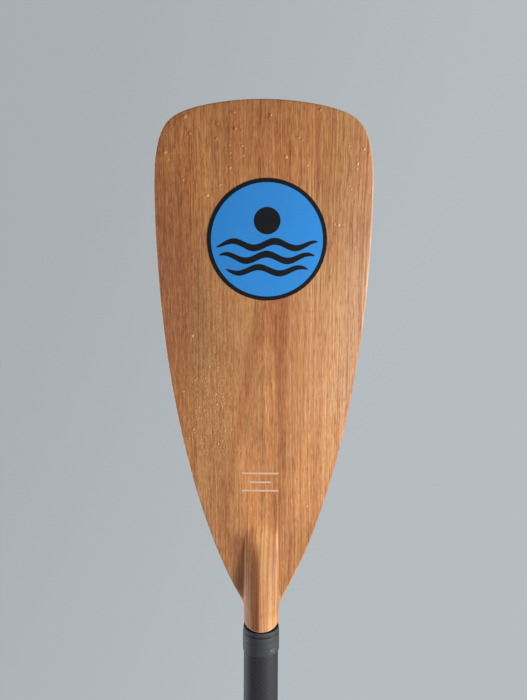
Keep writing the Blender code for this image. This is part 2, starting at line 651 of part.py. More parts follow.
core_in = PAD_THICK + GAP
wide, deep, square = grip_half(GRIP_MID_Z, core_in)
core_rows = dome_rows(core_in) + [grip_ring(wide, deep, square, GRIP_MID_Z),
                                  grip_ring(wide, deep, square, PAD_Z + GAP)]
for z in np.linspace(PAD_Z + GAP, GRIP_NECK_Z, 11):
    core_rows.append(grip_ring(*grip_half(float(z), 0.0), float(z)))
core_rows += [grip_ring(GRIP_NECK_R, GRIP_NECK_R, 2.0, GRIP_SHOULDER_Z - 0.6),
              grip_ring(GRIP_NECK_R - 0.6, GRIP_NECK_R - 0.6, 2.0, GRIP_SHOULDER_Z),
              grip_ring(GRIP_STEM_R, GRIP_STEM_R, 2.0, GRIP_SHOULDER_Z),
              grip_ring(GRIP_STEM_R, GRIP_STEM_R, 2.0, GRIP_STEM_Z - 1.0),
              grip_ring(GRIP_STEM_R - 1.0, GRIP_STEM_R - 1.0, 2.0, GRIP_STEM_Z)]
grip = finish("grip_core", skin(core_rows, cap_last=True), MAT_GRIP, parent=HANDLE)
for side, sign in (("front", -1), ("back", 1)):
    carve(grip, guide("stem_%s_cut" % side, lay(rod(1.9, 5, 16, 0.0, 16), (0, sign, 0),
                                                (0, 0, RIVET_Z)), parent=HANDLE))
    finish("grip_rivet_%s" % side,
           lay(lathe([(0, 5.6), (1.2, 5.6), (1.6, 6.2), (1.6, 13.0), (3.1, 13.0), (3.1, 13.3),
                      (2.3, 14.0), (1.2, 14.3), (0, 14.4)], False, 20), (0, sign, 0),
               (0, 0, RIVET_Z)), MAT_RIVET, parent=HANDLE)
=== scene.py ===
import math
import random

import bmesh
import bpy
from mathutils import Matrix, Vector


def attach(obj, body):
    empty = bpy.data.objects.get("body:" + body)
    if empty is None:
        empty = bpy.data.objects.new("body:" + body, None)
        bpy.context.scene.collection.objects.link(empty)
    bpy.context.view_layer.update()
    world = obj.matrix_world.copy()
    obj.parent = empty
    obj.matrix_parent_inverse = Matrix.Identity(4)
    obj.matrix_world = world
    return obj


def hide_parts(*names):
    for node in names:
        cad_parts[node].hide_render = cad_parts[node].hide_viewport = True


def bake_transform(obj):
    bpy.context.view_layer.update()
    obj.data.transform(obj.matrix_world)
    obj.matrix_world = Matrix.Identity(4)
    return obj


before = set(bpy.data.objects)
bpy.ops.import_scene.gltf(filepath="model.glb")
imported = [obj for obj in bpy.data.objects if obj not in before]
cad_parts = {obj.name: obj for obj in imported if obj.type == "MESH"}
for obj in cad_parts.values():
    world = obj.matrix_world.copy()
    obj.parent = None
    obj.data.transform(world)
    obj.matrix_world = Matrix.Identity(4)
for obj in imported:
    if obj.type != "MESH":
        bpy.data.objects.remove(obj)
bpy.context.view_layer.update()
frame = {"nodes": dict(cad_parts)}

MM = 0.001
SCENE = bpy.context.scene

# ------------------------------------------------------------------ sizes, as in the model (mm)
GAP = 0.3
THROAT_Z = 1220.0
LEAN, TIP_S, HALF_W, WIDE_S = 8.0, 418.7, 86.45, 355.9
THROAT_W, SIDE_A, SIDE_B = 13.42, 2.18, 0.857
SHOULDER, SHOULDER_Q, TIP_R, CORNER_K = 0.128, 2.188, 247.9, 5.6
EDGE, CORE_LOW, CORE_TIP, CORE_RUN, CROWN = 1.6, 4.2, 2.6, 38.0, 2.2
NECK_R, FRONT_FADE, BACK_FADE, FAN_S = 15.1, 72.0, 235.0, 352.0
COLLAR_TOP, COLLAR_BOT = 18.4, 38.6
SHAFT_R, SHAFT_RI = 15.0, 13.8
UPPER_R, UPPER_RI = 12.7, 11.2

# ------------------------------------------------------------------ camera
VIEW_F = 526.0                     # focal length in pixels of the 527 x 700 frame
CAM_DIST, CAM_RISE = 461.4, 222.2  # from the shaft's axis, above the throat (mm)
cam_data = bpy.data.cameras.new("photo_camera")
cam_data.lens = VIEW_F / 700.0 * 36.0
cam_data.sensor_width = 36.0
cam_data.sensor_fit = 'AUTO'
cam_data.clip_start, cam_data.clip_end = 0.01, 60.0
cam = bpy.data.objects.new("photo_camera", cam_data)
SCENE.collection.objects.link(cam)
cam.location = (0.57 * MM, -CAM_DIST * MM, (THROAT_Z + CAM_RISE) * MM)
cam.rotation_euler = (math.radians(90.0), math.radians(-0.365), 0.0)
SCENE.camera = cam
SCENE.view_settings.view_transform = 'Standard'
SCENE.view_settings.look = 'None'

# ------------------------------------------------------------------ light
world = bpy.data.worlds.new("studio")
SCENE.world = world
world.use_nodes = True
back = world.node_tree.nodes["Background"]
back.inputs["Color"].default_value = (0.312, 0.345, 0.368, 1.0)
back.inputs["Strength"].default_value = 1.0


def area(name, at, to, size_x, size_y, power, color=(1, 1, 1), spread=180.0):
    data = bpy.data.lights.new(name, 'AREA')
    data.shape = 'RECTANGLE'
    data.size, data.size_y = size_x, size_y
    data.energy = power
    data.spread = math.radians(spread)
    data.color = color
    obj = bpy.data.objects.new(name, data)
    SCENE.collection.objects.link(obj)
    obj.location = at
    obj.rotation_euler = (Vector(to) - Vector(at)).to_track_quat('-Z', 'Y').to_euler()
    obj.visible_camera = False
    return obj


area("window", (0.45, -0.250, 1.31), (0.0, 0.0, 1.31), 0.14, 0.60, 5.0, (1.0, 0.985, 0.955))
area("left_soft", (-0.56, 0.24, 0.84), (0.0, 0.0, 1.12), 0.26, 0.50, 1.8, (0.97, 0.99, 1.0))
area("left_fill", (-0.45, -0.05, 1.31), (0.0, 0.0, 1.29), 0.10, 0.40, 0.85, (0.93, 0.97, 1.0))
area("low_soft", (0.70, -0.95, 0.62), (0.0, 0.0, 0.20), 0.70, 0.50, 3.0, spread=84.0)
area("rear_soft", (-0.9, 1.3, 1.7), (0.0, 0.0, 0.95), 1.2, 1.4, 22.0, (0.97, 0.985, 1.0))


# ------------------------------------------------------------------ node helpers
class Graph:
    """Short names for building a material's nodes."""

    def __init__(self, name):
        self.mat = bpy.data.materials.new(name)
        self.mat.use_nodes = True
        self.tree = self.mat.node_tree
        self.shader = self.tree.nodes["Principled BSDF"]

    def link(self, a, b):
        self.tree.links.new(a, b)

    def put(self, socket, value):
        if isinstance(value, bpy.types.NodeSocket):
            self.link(value, socket)
        elif isinstance(value, (tuple, list)) and len(value) == 3 and socket.type == 'RGBA':
            socket.default_value = (*value, 1.0)
        else:
            socket.default_value = value

    def set(self, **values):
        for key, value in values.items():
            self.put(self.shader.inputs[key.replace("_", " ")], value)

    def math(self, op, a, b=None, c=None, clamp=False):
        n = self.tree.nodes.new('ShaderNodeMath')
        n.operation = op
        n.use_clamp = clamp
        for i, v in enumerate((a, b, c)):
            if v is not None:
                self.put(n.inputs[i], v)
        return n.outputs[0]

    def add(self, a, b):
        return self.math('ADD', a, b)

    def sub(self, a, b):
        return self.math('SUBTRACT', a, b)

    def mul(self, a, b):
        return self.math('MULTIPLY', a, b)

    def smooth(self, value, low, high):
        n = self.tree.nodes.new('ShaderNodeMapRange')
        n.interpolation_type = 'SMOOTHSTEP'
        n.clamp = True
        self.put(n.inputs["Value"], value)
        n.inputs["From Min"].default_value = low
        n.inputs["From Max"].default_value = high
        return n.outputs["Result"]

    def vec(self, x=0.0, y=0.0, z=0.0):
        n = self.tree.nodes.new('ShaderNodeCombineXYZ')
        for i, v in enumerate((x, y, z)):
            self.put(n.inputs[i], v)
        return n.outputs[0]

    def split(self, vector):
        n = self.tree.nodes.new('ShaderNodeSeparateXYZ')
        self.link(vector, n.inputs[0])
        return n.outputs[0], n.outputs[1], n.outputs[2]

    def noise(self, vector, scale=1.0, detail=2.0, rough=0.5, distortion=0.0):
        n = self.tree.nodes.new('ShaderNodeTexNoise')
        n.inputs["Scale"].default_value = scale
        n.inputs["Detail"].default_value = detail
        n.inputs["Roughness"].default_value = rough
        n.inputs["Distortion"].default_value = distortion
        self.link(vector, n.inputs["Vector"])
        return n.outputs["Fac"]

    def voronoi(self, vector, scale=1.0, feature='F1'):
        n = self.tree.nodes.new('ShaderNodeTexVoronoi')
        n.feature = feature
        n.inputs["Scale"].default_value = scale
        self.link(vector, n.inputs["Vector"])
        return n.outputs["Distance"]

    def uv(self, name):
        n = self.tree.nodes.new('ShaderNodeUVMap')
        n.uv_map = name
        return self.split(n.outputs[0])

    def object_coords(self):
        n = self.tree.nodes.new('ShaderNodeTexCoord')
        return n.outputs["Object"]

    def mix(self, fac, a, b, blend='MIX'):
        n = self.tree.nodes.new('ShaderNodeMix')
        n.data_type = 'RGBA'
        n.blend_type = blend
        n.clamp_factor = True
        self.put(n.inputs[0], fac)
        self.put(n.inputs[6], a)
        self.put(n.inputs[7], b)
        return n.outputs[2]

    def scale(self, color, factor):
        n = self.tree.nodes.new('ShaderNodeVectorMath')
        n.operation = 'SCALE'
        self.put(n.inputs[0], color)
        self.put(n.inputs["Scale"], factor)
        return n.outputs[0]

    def ramp(self, fac, stops):
        n = self.tree.nodes.new('ShaderNodeValToRGB')
        self.put(n.inputs[0], fac)
        els = n.color_ramp.elements
        while len(els) < len(stops):
            els.new(0.5)
        for e, (p, c) in zip(els, stops):
            e.position = p
            e.color = (*c, 1.0)
        return n.outputs[0]

    def bump(self, height, strength, distance):
        n = self.tree.nodes.new('ShaderNodeBump')
        n.inputs["Strength"].default_value = strength
        n.inputs["Distance"].default_value = distance
        self.put(n.inputs["Height"], height)
        self.link(n.outputs[0], self.shader.inputs["Normal"])
        return n.outputs[0]


# ------------------------------------------------------------------ mesh helpers (lengths in mm)
def skin(name, loops, uv_of=None, close_rows=False, cap_first=False, cap_last=False, sharp=35.0,
         depth_of=None):
    """Mesh through rings of points. uv_of(row, column) gives a corner's place along the grain, in
    metres, and depth_of(row, column) its depth in the stuff and how far it is on a cut end."""
    bm = bmesh.new()
    known = {}
    layer = bm.loops.layers.uv.new("grain") if uv_of else None
    deep = bm.loops.layers.uv.new("depth") if depth_of else None

    def vert(p):
        key = (round(p[0], 4), round(p[1], 4), round(p[2], 4))
        if key not in known:
            known[key] = bm.verts.new((p[0] * MM, p[1] * MM, p[2] * MM))
        return known[key]

    rows = [[vert(p) for p in loop] for loop in loops]

    def face(corners):
        seen, keep = [], []
        for v, tag in corners:
            if v not in seen:
                seen.append(v)
                keep.append((v, tag))
        if len(keep) < 3 or bm.faces.get(seen) is not None:
            return
        f = bm.faces.new(seen)
        f.smooth = True
        for loop, (v, tag) in zip(f.loops, keep):
            if layer:
                loop[layer].uv = uv_of(*tag)
            if deep:
                loop[deep].uv = depth_of(*tag)

    count = len(rows)
    steps = list(range(count - 1)) + ([count - 1] if close_rows else [])
    for r in steps:
        a, b = rows[r], rows[(r + 1) % count]
        n = len(a)
        for i in range(n):
            j = i + 1
            face([(a[i], (r, i)), (a[j % n], (r, j)), (b[j % n], (r + 1, j)), (b[i], (r + 1, i))])
    if cap_first:
        face([(v, (0, i)) for i, v in enumerate(rows[0])])
    if cap_last:
        face([(v, (count - 1, i)) for i, v in enumerate(rows[-1])])
    bmesh.ops.recalc_face_normals(bm, faces=bm.faces)
    return to_object(name, bm, sharp)


def to_object(name, bm, sharp=35.0):
    mesh = bpy.data.meshes.new(name)
    bm.to_mesh(mesh)
    bm.free()
    mesh.shade_smooth()
    mesh.set_sharp_from_angle(angle=math.radians(sharp))
    obj = bpy.data.objects.new(name, mesh)
    SCENE.collection.objects.link(obj)
    return obj


def lathe(name, profile, closed, seg=96, sharp=35.0, centre=(0.0, 0.0)):
    """Turned piece. Its texture place is metres round (at the profile's radius) and metres up."""
    loops = [[(centre[0] + r * math.cos(2 * math.pi * k / seg),
               centre[1] + r * math.sin(2 * math.pi * k / seg), z) for k in range(seg)]
             for r, z in profile]
    big = max(r for r, z in profile)
    runs, total = [0.0], 0.0
    for (r0, z0), (r1, z1) in zip(profile, profile[1:] + profile[:1]):
        total += math.hypot(r1 - r0, z1 - z0)
        runs.append(total)

    def place(row, col):
        return (2 * math.pi * col / seg * big * MM,
                (profile[0][1] + runs[row]) * MM)

    return skin(name, loops, place, close_rows=closed, sharp=sharp)


def round_profile(points, radius, steps=4):
    """Profile with every corner rounded; points is a closed loop of (r, z)."""
    out = []
    n = len(points)
    for i in range(n):
        p0, p1, p2 = Vector(points[i - 1]), Vector(points[i]), Vector(points[(i + 1) % n])
        a, b = (p0 - p1), (p2 - p1)
        cut = min(radius, a.length * 0.45, b.length * 0.45)
        q0, q1 = p1 + a.normalized() * cut, p1 + b.normalized() * cut
        for k in range(steps + 1):
            t = k / steps
            q = q0 * (1 - t) ** 2 + p1 * 2 * t * (1 - t) + q1 * t ** 2
            out.append((q.x, q.y))
    return out


def paint(obj, mat):
    obj.data.materials.clear()
    obj.data.materials.append(mat)
    return obj


def place_piece(obj, mat, body, nodes=()):
    paint(obj, mat)
    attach(obj, body)
    if nodes:
        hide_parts(*nodes)
    return obj


def settle(obj, sharp=35.0):
    """Apply an object's modifiers to its mesh."""
    bpy.context.view_layer.update()
    graph = bpy.context.evaluated_depsgraph_get()
    mesh = bpy.data.meshes.new_from_object(obj.evaluated_get(graph))
    obj.modifiers.clear()
    old, obj.data = obj.data, mesh
    bpy.data.meshes.remove(old)
    bm = bmesh.new()
    bm.from_mesh(mesh)
    bmesh.ops.remove_doubles(bm, verts=bm.verts, dist=4e-6)
    bmesh.ops.dissolve_degenerate(bm, edges=bm.edges, dist=4e-6)
    bmesh.ops.recalc_face_normals(bm, faces=bm.faces)
    bm.to_mesh(mesh)
    bm.free()
    mesh.shade_smooth()
    mesh.set_sharp_from_angle(angle=math.radians(sharp))
    return obj


def carve(obj, *cutters):
    for cutter in cutters:
        mod = obj.modifiers.new(cutter.name, 'BOOLEAN')
        mod.operation = 'DIFFERENCE'
        mod.solver = 'EXACT'
        mod.object = cutter
    settle(obj)
    for cutter in cutters:
        bpy.data.objects.remove(cutter, do_unlink=True)
    return obj


def soften(obj, width, segments=3, angle=32.0):
    """Round an object's edges."""
    mod = obj.modifiers.new("edges", 'BEVEL')
    mod.width = width * MM
    mod.segments = segments
    mod.limit_method = 'ANGLE'
    mod.angle_limit = math.radians(angle)
    mod.use_clamp_overlap = True
    return settle(obj, 50.0)


def stack(name, outlines):
    """Solid through closed outlines of (x, y) at rising z."""
    return skin(name, [[(x, y, z) for x, y in outline] for outline, z in outlines],
                cap_first=True, cap_last=True, sharp=40)


def circle(r, cx=0.0, cy=0.0, seg=64):
    return [(cx + r * math.cos(2 * math.pi * k / seg), cy + r * math.sin(2 * math.pi * k / seg))
            for k in range(seg)]


def square(x0, x1, y0, y1):
    return [(x0, y0), (x1, y0), (x1, y1), (x0, y1)]


def turned(obj, axis, at):
    """Turn a piece made about Z so that +Z points along axis, and move it to at (mm)."""
    turn = Vector((0, 0, 1)).rotation_difference(Vector(axis)).to_matrix().to_4x4()
    obj.data.transform(Matrix.Translation(Vector(at) * MM) @ turn)
    return obj


# ------------------------------------------------------------------ blade shape
def smooth_max(a, b, k):
    return 0.5 * (a + b + math.sqrt((a - b) ** 2 + k * k))


def smooth_step(t):
    t = min(max(t, 0.0), 1.0)
    return t * t * (3 - 2 * t)


def plate_half_width(s):
    if s < 0:
        return THROAT_W + 0.9 * s
    if s < WIDE_S:
        t = (WIDE_S - s) / WIDE_S
        side = THROAT_W + (HALF_W - THROAT_W) * (1 - t ** SIDE_A) ** SIDE_B
    else:
        side = HALF_W * (1 - SHOULDER * ((s - WIDE_S) / (TIP_S - WIDE_S)) ** SHOULDER_Q)
    arc = math.sqrt(max(2 * TIP_R * (TIP_S - s), 1e-9))
    return (side ** -CORNER_K + arc ** -CORNER_K) ** (-1 / CORNER_K)


def half_width(s):
    return smooth_max(plate_half_width(s), NECK_R, 2.0)


def outline_hit(theta):
    if theta > math.pi / 2 - 1e-6:
        return 0.0, TIP_S
    low, high = FAN_S, TIP_S
    for _ in range(50):
        mid = 0.5 * (low + high)
        if math.atan2(mid - FAN_S, plate_half_width(mid)) < theta:
            low = mid
        else:
            high = mid
    s = 0.5 * (low + high)
    return plate_half_width(s), s


def neck_span(s):
    """Half-width of the raised neck where it stands on the plate."""
    return NECK_R + 0.45 - 1.35 * smooth_step((s - 46.0) / 24.0)


def neck_front(x, s):
    """The neck's crown goes straight up while the plate leans out to meet it, and flattens there."""
    up = max(s, 0.0)
    rise = NECK_R - up * math.sin(math.radians(LEAN)) - 4.0 * smooth_step((up - 64.0) / 18.0)
    span = half_width(s) if s <= 0 else min(half_width(s), neck_span(s))
    p = 2.0 + 0.5 * smooth_step((up - 40.0) / 20.0) + 1.3 * smooth_step((up - 54.0) / 18.0)
    u = min(abs(x) / span, 1.0)
    return max(rise, 0.0) * max(1 - u ** p, 0.0) ** (1 / p)


def spine_back(x, s):
    t = min(max(s, 0) / BACK_FADE, 1.0)
    rise = NECK_R * (1 - t ** 1.35)
    span = half_width(s) if s <= 0 else min(half_width(s), NECK_R + 0.5 - 8.5 * smooth_step(t))
    u = min(abs(x) / span, 1.0)
    return rise * max(1 - u * u, 0.0) ** 0.5


def plate(s, d):
    if d < EDGE:
        return math.sqrt(max(EDGE * EDGE - (EDGE - d) ** 2, 0.0))
    middle = CORE_LOW + (CORE_TIP - CORE_LOW) * smooth_step(s / TIP_S)
    return EDGE + (middle - EDGE) * smooth_step((d - EDGE) / CORE_RUN)


def lean_at(s):
    return math.radians(LEAN) * smooth_step((s + 12.0) / 24.0)


def spine_line(s):
    if s <= -12.0:
        return 0.0, THROAT_Z + s, 0.0
    y, z, steps = 0.0, THROAT_Z - 12.0, 24
    h = (min(s, 12.0) + 12.0) / steps
    for k in range(steps):
        a = lean_at(-12.0 + (k + 0.5) * h)
        y -= math.sin(a) * h
        z += math.cos(a) * h
    if s > 12.0:
        a = math.radians(LEAN)
        y -= math.sin(a) * (s - 12.0)
        z += math.cos(a) * (s - 12.0)
    return y, z, lean_at(s)


def to_world(x, s, off):
    y, z, a = spine_line(s)
    off -= CROWN * (x / HALF_W) ** 2 * smooth_step(s / 120.0)
    return x, y - off * math.cos(a), z - off * math.sin(a)


def face_height(x, s, d=40.0):
    """Height of the front face above the middle plane, d inside the edge."""
    soft = 1.6 * smooth_step(s / 25.0)
    return smooth_max(plate(max(s, 0.0), d), neck_front(x, s), soft) if s > 0 else neck_front(x, s)


def on_face(x, s, lift=0.0):
    """World point (mm) on the front face, lift above it."""
    d = max(half_width(s) - abs(x), 0.0)
    return Vector(to_world(x, s, face_height(x, s, d) + lift))


EDGE_COLS = [EDGE * (1 - math.cos(math.radians(a))) for a in (0, 15, 30, 45, 60, 75, 90)]
NECK_COLS, SIDE_COLS = 20, 18
INNER = NECK_COLS + SIDE_COLS
EVEN = [0.55 * math.sin(0.5 * math.pi * 0.97 * k / INNER) + 0.45 * k / INNER for k in range(INNER + 1)]
EVEN = [c / EVEN[-1] for c in EVEN]


def fitted(s, reach):
    """Columns crowded at the foot of the neck, as shares of the half-width."""
    foot = min(neck_span(s) / half_width(s), reach * 0.9)
    out = [foot * (1 - (1 - k / NECK_COLS) ** 1.5) for k in range(NECK_COLS + 1)]
    for k in range(1, SIDE_COLS + 1):
        t = k / SIDE_COLS
        out.append(foot + (reach - foot) * (0.30 * t + 0.70 * t * t))
    return out


def blade_row(hit, centre, slant, fit=0.0):
    x_edge, s_edge = hit
    length = math.hypot(x_edge, s_edge - centre)
    sheer = max(slant, 0.2)
    room = 2.2 * EDGE / sheer
    reach = 1 - min(room / length, 0.3)
    ratios = [c * reach for c in EVEN]
    if fit > 0:
        ratios = [a * (1 - fit) + b * fit for a, b in zip(ratios, fitted(s_edge, reach))]
    ratios += [1 - min(d / sheer / length, 0.28) for d in reversed(EDGE_COLS)]
    front, back_side = [], []
    for q in ratios:
        x = x_edge * q
        s = centre + (s_edge - centre) * q
        d = (1 - q) * length * sheer
        h = plate(max(s, 0.0), d)
        fade = smooth_step(s / 25.0) * smooth_step(d / 6.0)
        f = smooth_max(h, neck_front(x, s), (0.35 + 0.9 * smooth_step((s - 62.0) / 14.0)) * fade) \
            if s > 0 else neck_front(x, s)
        b = smooth_max(h, spine_back(x, s), 1.6 * fade) if s > 0 else spine_back(x, s)
        if q > 1 - 1e-9:
            f = b = 0.0
        front.append((x, s, f))
        back_side.append((x, s, -b))
    ring = [front[j] for j in range(len(front) - 1, -1, -1)]
    ring += [(-front[j][0], front[j][1], front[j][2]) for j in range(1, len(front))]
    ring += [(-back_side[j][0], back_side[j][1], back_side[j][2])
             for j in range(len(back_side) - 2, -1, -1)]
    ring += [back_side[j] for j in range(1, len(back_side) - 1)]
    return ring


WRAP_TOP = -8.0         # below this the neck is a plain round wrap of veneer


def wrap_end(y):
    """Where the veneer stops, from the throat: a cut square to the leaning blade, so lower in front."""
    return -13.2 + 0.31 * y


def blade_object():
    stations = [WRAP_TOP]
    while stations[-1] < 0:
        stations.append(stations[-1] + 2.0)
    while stations[-1] < 86:
        stations.append(stations[-1] + 1.5)
    while stations[-1] < FAN_S - 5:
        stations.append(stations[-1] + 4.0)
    stations[-1] = FAN_S
    raw = []
    for s in stations:
        slope = half_width(s + 0.5) - half_width(s - 0.5)
        fit = smooth_step((half_width(s) - neck_span(s) - 0.8) / 5.0) * (1 - smooth_step((s - 84.0) / 70.0)) \
            if s > 0 else 0.0
        raw.append(blade_row((half_width(s), s), s, 1 / math.hypot(1, slope), fit))
    fan = 60
    for k in range(1, fan + 1):
        theta = 0.5 * math.pi * k / fan
        a, b = outline_hit(theta - 0.006), outline_hit(min(theta + 0.006, math.pi / 2))
        if k == fan:
            b = (-a[0], a[1])
        run = Vector((b[0] - a[0], b[1] - a[1])).normalized()
        ray = Vector((math.cos(theta), math.sin(theta)))
        raw.append(blade_row(outline_hit(theta), FAN_S, abs(ray.x * run.y - ray.y * run.x)))
    rows = [[to_world(*p) for p in ring] for ring in raw]
    cols = len(raw[0])
    first = rows[0]

    # the wrap's lower end: (radius, height above the cut, share of the way up, how far on the cut)
    steps = [(13.9, 0.0, 0.0, 1.0), (14.55, 0.0, 0.0, 1.0), (14.88, 0.06, 0.0, 1.0), (15.04, 0.24, 0.0, 1.0),
             (15.11, 0.55, 0.0, 0.85), (15.13, 0.95, 0.0, 0.0), (15.13, 1.0, 0.2, 0.0), (15.12, 1.0, 0.45, 0.0),
             (15.11, 1.0, 0.72, 0.0)]
    lip = []
    for r, up, share, cut in steps:
        ring = []
        for p in first:
            reach = math.hypot(p[0], p[1])
            rr = r * (1 - share) + reach * share
            x, y = p[0] * rr / reach, p[1] * rr / reach
            z = THROAT_Z + wrap_end(y) + up
            ring.append((x, y, z * (1 - share) + p[2] * share))
        lip.append(ring)

    def spot(row, col):
        c = col % cols
        if row < len(lip):
            x, s, off = raw[0][c]
            return x, lip[row][c][2] - THROAT_Z, off
        return raw[min(row - len(lip), len(raw) - 1)][c]

    def place(row, col):
        x, s, off = spot(row, col)
        return x * MM, s * MM

    def depth(row, col):
        return spot(row, col)[2] * MM, steps[row][3] if row < len(steps) else 0.0

    return skin("blade_body", lip + rows, place, cap_first=True, sharp=60, depth_of=depth)


def core_object(seg=96):
    """Moulded core that shows below the veneer's end and goes down into the shaft."""
    rings = []
    for r, z, tilt in ((13.6, -0.04, True), (14.60, -0.04, True), (14.80, -0.16, True), (14.82, -0.40, True),
                       (14.82, -21.2, False), (14.60, -21.4, False), (13.55, -21.45, False),
                       (13.45, -39.0, False), (13.40, -85.6, False), (12.4, -86.6, False)):
        ring = []
        for k in range(seg):
            a = 2 * math.pi * k / seg
            x, y = r * math.cos(a), r * math.sin(a)
            ring.append((x, y, THROAT_Z + z + (wrap_end(y) if tilt else 0.0)))
        rings.append(ring)
    return skin("neck_core", rings, cap_first=True, cap_last=True, sharp=50)


# ------------------------------------------------------------------ wood
def wood_material(name="clear_coated_veneer", wet=False):
    g = Graph(name)
    x, v, _ = g.uv("grain")
    w, cut, _ = g.uv("depth")
    deep = g.add(g.mul(w, 60.0), g.mul(g.smooth(w, -0.0004, 0.0004), 5.0))
    # the grain lines wander slowly, and waver a little
    slow = g.noise(g.vec(g.mul(x, 6.0), g.mul(v, 3.5), g.mul(w, 40.0)), 1.0, 1.0)
    wave = g.noise(g.vec(g.mul(x, 26.0), g.mul(v, 20.0), g.mul(w, 60.0)), 1.0, 1.0)
    xw = g.add(x, g.add(g.mul(g.sub(slow, 0.5), 0.012), g.mul(g.sub(wave, 0.5), 0.0018)))

    def streak(fx, fv, shift, detail, rough=0.55):
        return g.sub(g.noise(g.vec(g.mul(xw, fx), g.mul(v, fv), g.add(deep, shift)), 1.0, detail, rough), 0.5)

    dash = streak(900.0, 26.0, 0.0, 3.0, 0.66)
    thread = streak(820.0, 5.0, 3.1, 2.5, 0.66)
    hair = streak(1300.0, 75.0, 7.7, 2.0)
    short = streak(1000.0, 210.0, 5.3, 1.5)
    mid = streak(240.0, 5.0, 11.0, 1.5)
    broad = g.sub(g.noise(g.vec(g.mul(xw, 50.0), g.mul(v, 1.5), g.mul(w, 40.0)), 1.0, 1.0), 0.5)
    # long lines on the right and low down, short dashes on the left and near the tip
    long_lines = g.smooth(g.sub(x, g.mul(v, 0.12)), -0.05, 0.01)

    # arched figure in the middle: nested arches whose apexes point to the tip
    drop = g.sub(0.228, v)
    xa = g.sub(xw, g.sub(0.0044, g.mul(drop, 0.090)))
    arch = g.sub(drop, g.mul(g.mul(xa, xa), 330.0))
    figure = g.sub(g.noise(g.vec(g.mul(arch, 75.0), g.mul(x, 8.0), g.add(deep, 2.0)), 1.0, 1.0), 0.5)
    inside = g.mul(g.smooth(g.math('ABSOLUTE', xa), 0.022, 0.013), g.smooth(v, 0.270, 0.240))
    first = g.mul(g.smooth(g.math('ABSOLUTE', g.sub(arch, 0.007)), 0.012, 0.004), inside)
    second = g.mul(g.mul(g.smooth(arch, -0.100, -0.070), g.smooth(arch, 0.000, -0.014)), g.smooth(v, 0.02, 0.10))
    beside = g.mul(g.mul(g.smooth(xw, -0.026, -0.018), g.smooth(xw, -0.004, -0.008)), g.smooth(v, 0.20, 0.24))
    brown = g.mul(g.mul(g.smooth(xw, 0.008, 0.012), g.smooth(xw, 0.027, 0.022)), g.smooth(v, 0.195, 0.245))

    outer = g.smooth(g.add(x, g.mul(g.sub(slow, 0.5), 0.004)), -0.0555, -0.0580)
    right_light = g.mul(g.smooth(xw, 0.0265, 0.0310), g.smooth(v, 0.335, 0.275))
    right_light = g.mul(right_light, g.smooth(v, 0.06, 0.24))

    # the neck's veneer: long clear stripes; painted shade makes it darker and redder left of a sharp line, and painted
    # light makes it lighter right of it
    neck = g.mul(g.smooth(v, 0.083, 0.066), g.smooth(g.math('ABSOLUTE', x), 0.0170, 0.0155))
    calm = g.sub(1.0, neck)
    stripe = g.sub(g.noise(g.vec(g.mul(xw, 430.0), g.mul(v, 2.2), g.add(deep, 21.0)), 1.0, 1.5), 0.5)
    line = g.add(x, g.mul(g.sub(wave, 0.5), 0.0012))
    side = g.sub(g.mul(g.smooth(line, -0.0027, -0.0016), 0.22), 0.08)
    painted_neck_shade = g.mul(g.mul(g.smooth(line, -0.0110, -0.0042), g.smooth(line, -0.0014, -0.0024)),
                 g.mul(neck, g.smooth(v, 0.062, 0.040)))

    tone = g.add(0.545, g.mul(broad, 0.30))
    tone = g.add(tone, g.mul(g.mul(mid, g.sub(1.0, g.mul(outer, 0.60))), 0.26))
    # quiet leaf left of the arches
    still = g.mul(g.mul(g.smooth(x, -0.036, -0.028), g.smooth(x, 0.000, -0.006)),
                  g.mul(g.smooth(v, 0.100, 0.130), g.smooth(v, 0.275, 0.245)))
    lively = g.sub(1.0, g.add(g.mul(still, 0.36), g.mul(outer, 0.26)))
    lively = g.sub(lively, g.mul(g.mul(inside, calm), 0.26))
    tone = g.add(tone, g.mul(g.mul(dash, lively), g.add(0.16, g.mul(calm, 0.34))))
    tone = g.add(tone, g.mul(g.mul(thread, lively), g.add(g.add(0.99, g.mul(neck, 0.91)), g.mul(long_lines, 0.42))))
    tipward = g.smooth(v, 0.290, 0.350)
    tone = g.add(tone, g.mul(hair, g.add(0.14, g.add(g.mul(calm, 0.72), g.mul(tipward, 0.30)))))
    tone = g.add(tone, g.mul(short, g.sub(g.add(0.12, g.mul(calm, 0.62)), g.mul(g.mul(long_lines, calm), 0.28))))
    # inside the neck: stripes, plus painted shade left of the sharp line and painted light right of it
    tone = g.add(tone, g.mul(neck, g.add(g.mul(stripe, 0.85), side)))
    tone = g.add(tone, g.mul(g.mul(figure, inside), 0.34))
    tone = g.add(tone, g.mul(first, g.add(0.07, g.mul(g.smooth(xa, -0.002, 0.004), 0.09))))
    tone = g.sub(tone, g.mul(second, 0.14))
    tone = g.add(tone, g.mul(beside, 0.07))
    tone = g.sub(tone, g.mul(brown, 0.06))
    tone = g.sub(tone, g.mul(outer, 0.13))
    tone = g.add(tone, g.mul(right_light, 0.12))
    # thin dark growth lines that run long and nearly straight
    for freq, run, shift, level, dark in ((300.0, 9.0, 31.0, 0.50, 0.26), (400.0, 15.0, 37.0, 0.54, 0.22),
                                          (230.0, 6.0, 43.0, 0.46, 0.24)):
        lines = g.noise(g.vec(g.mul(xw, freq), g.mul(v, run), g.add(deep, shift)), 1.0, 1.0)
        lines = g.smooth(g.math('ABSOLUTE', g.sub(lines, level)), 0.016, 0.004)
        shown = g.noise(g.vec(g.mul(xw, 160.0), g.mul(v, 48.0), g.add(deep, shift + 3.0)), 1.0, 1.0)
        lines = g.mul(g.mul(lines, lively), g.smooth(shown, 0.40, 0.60))
        tone = g.sub(tone, g.mul(lines, g.mul(g.add(0.5, g.add(g.mul(calm, 0.5), g.mul(tipward, 0.12))), dark)))
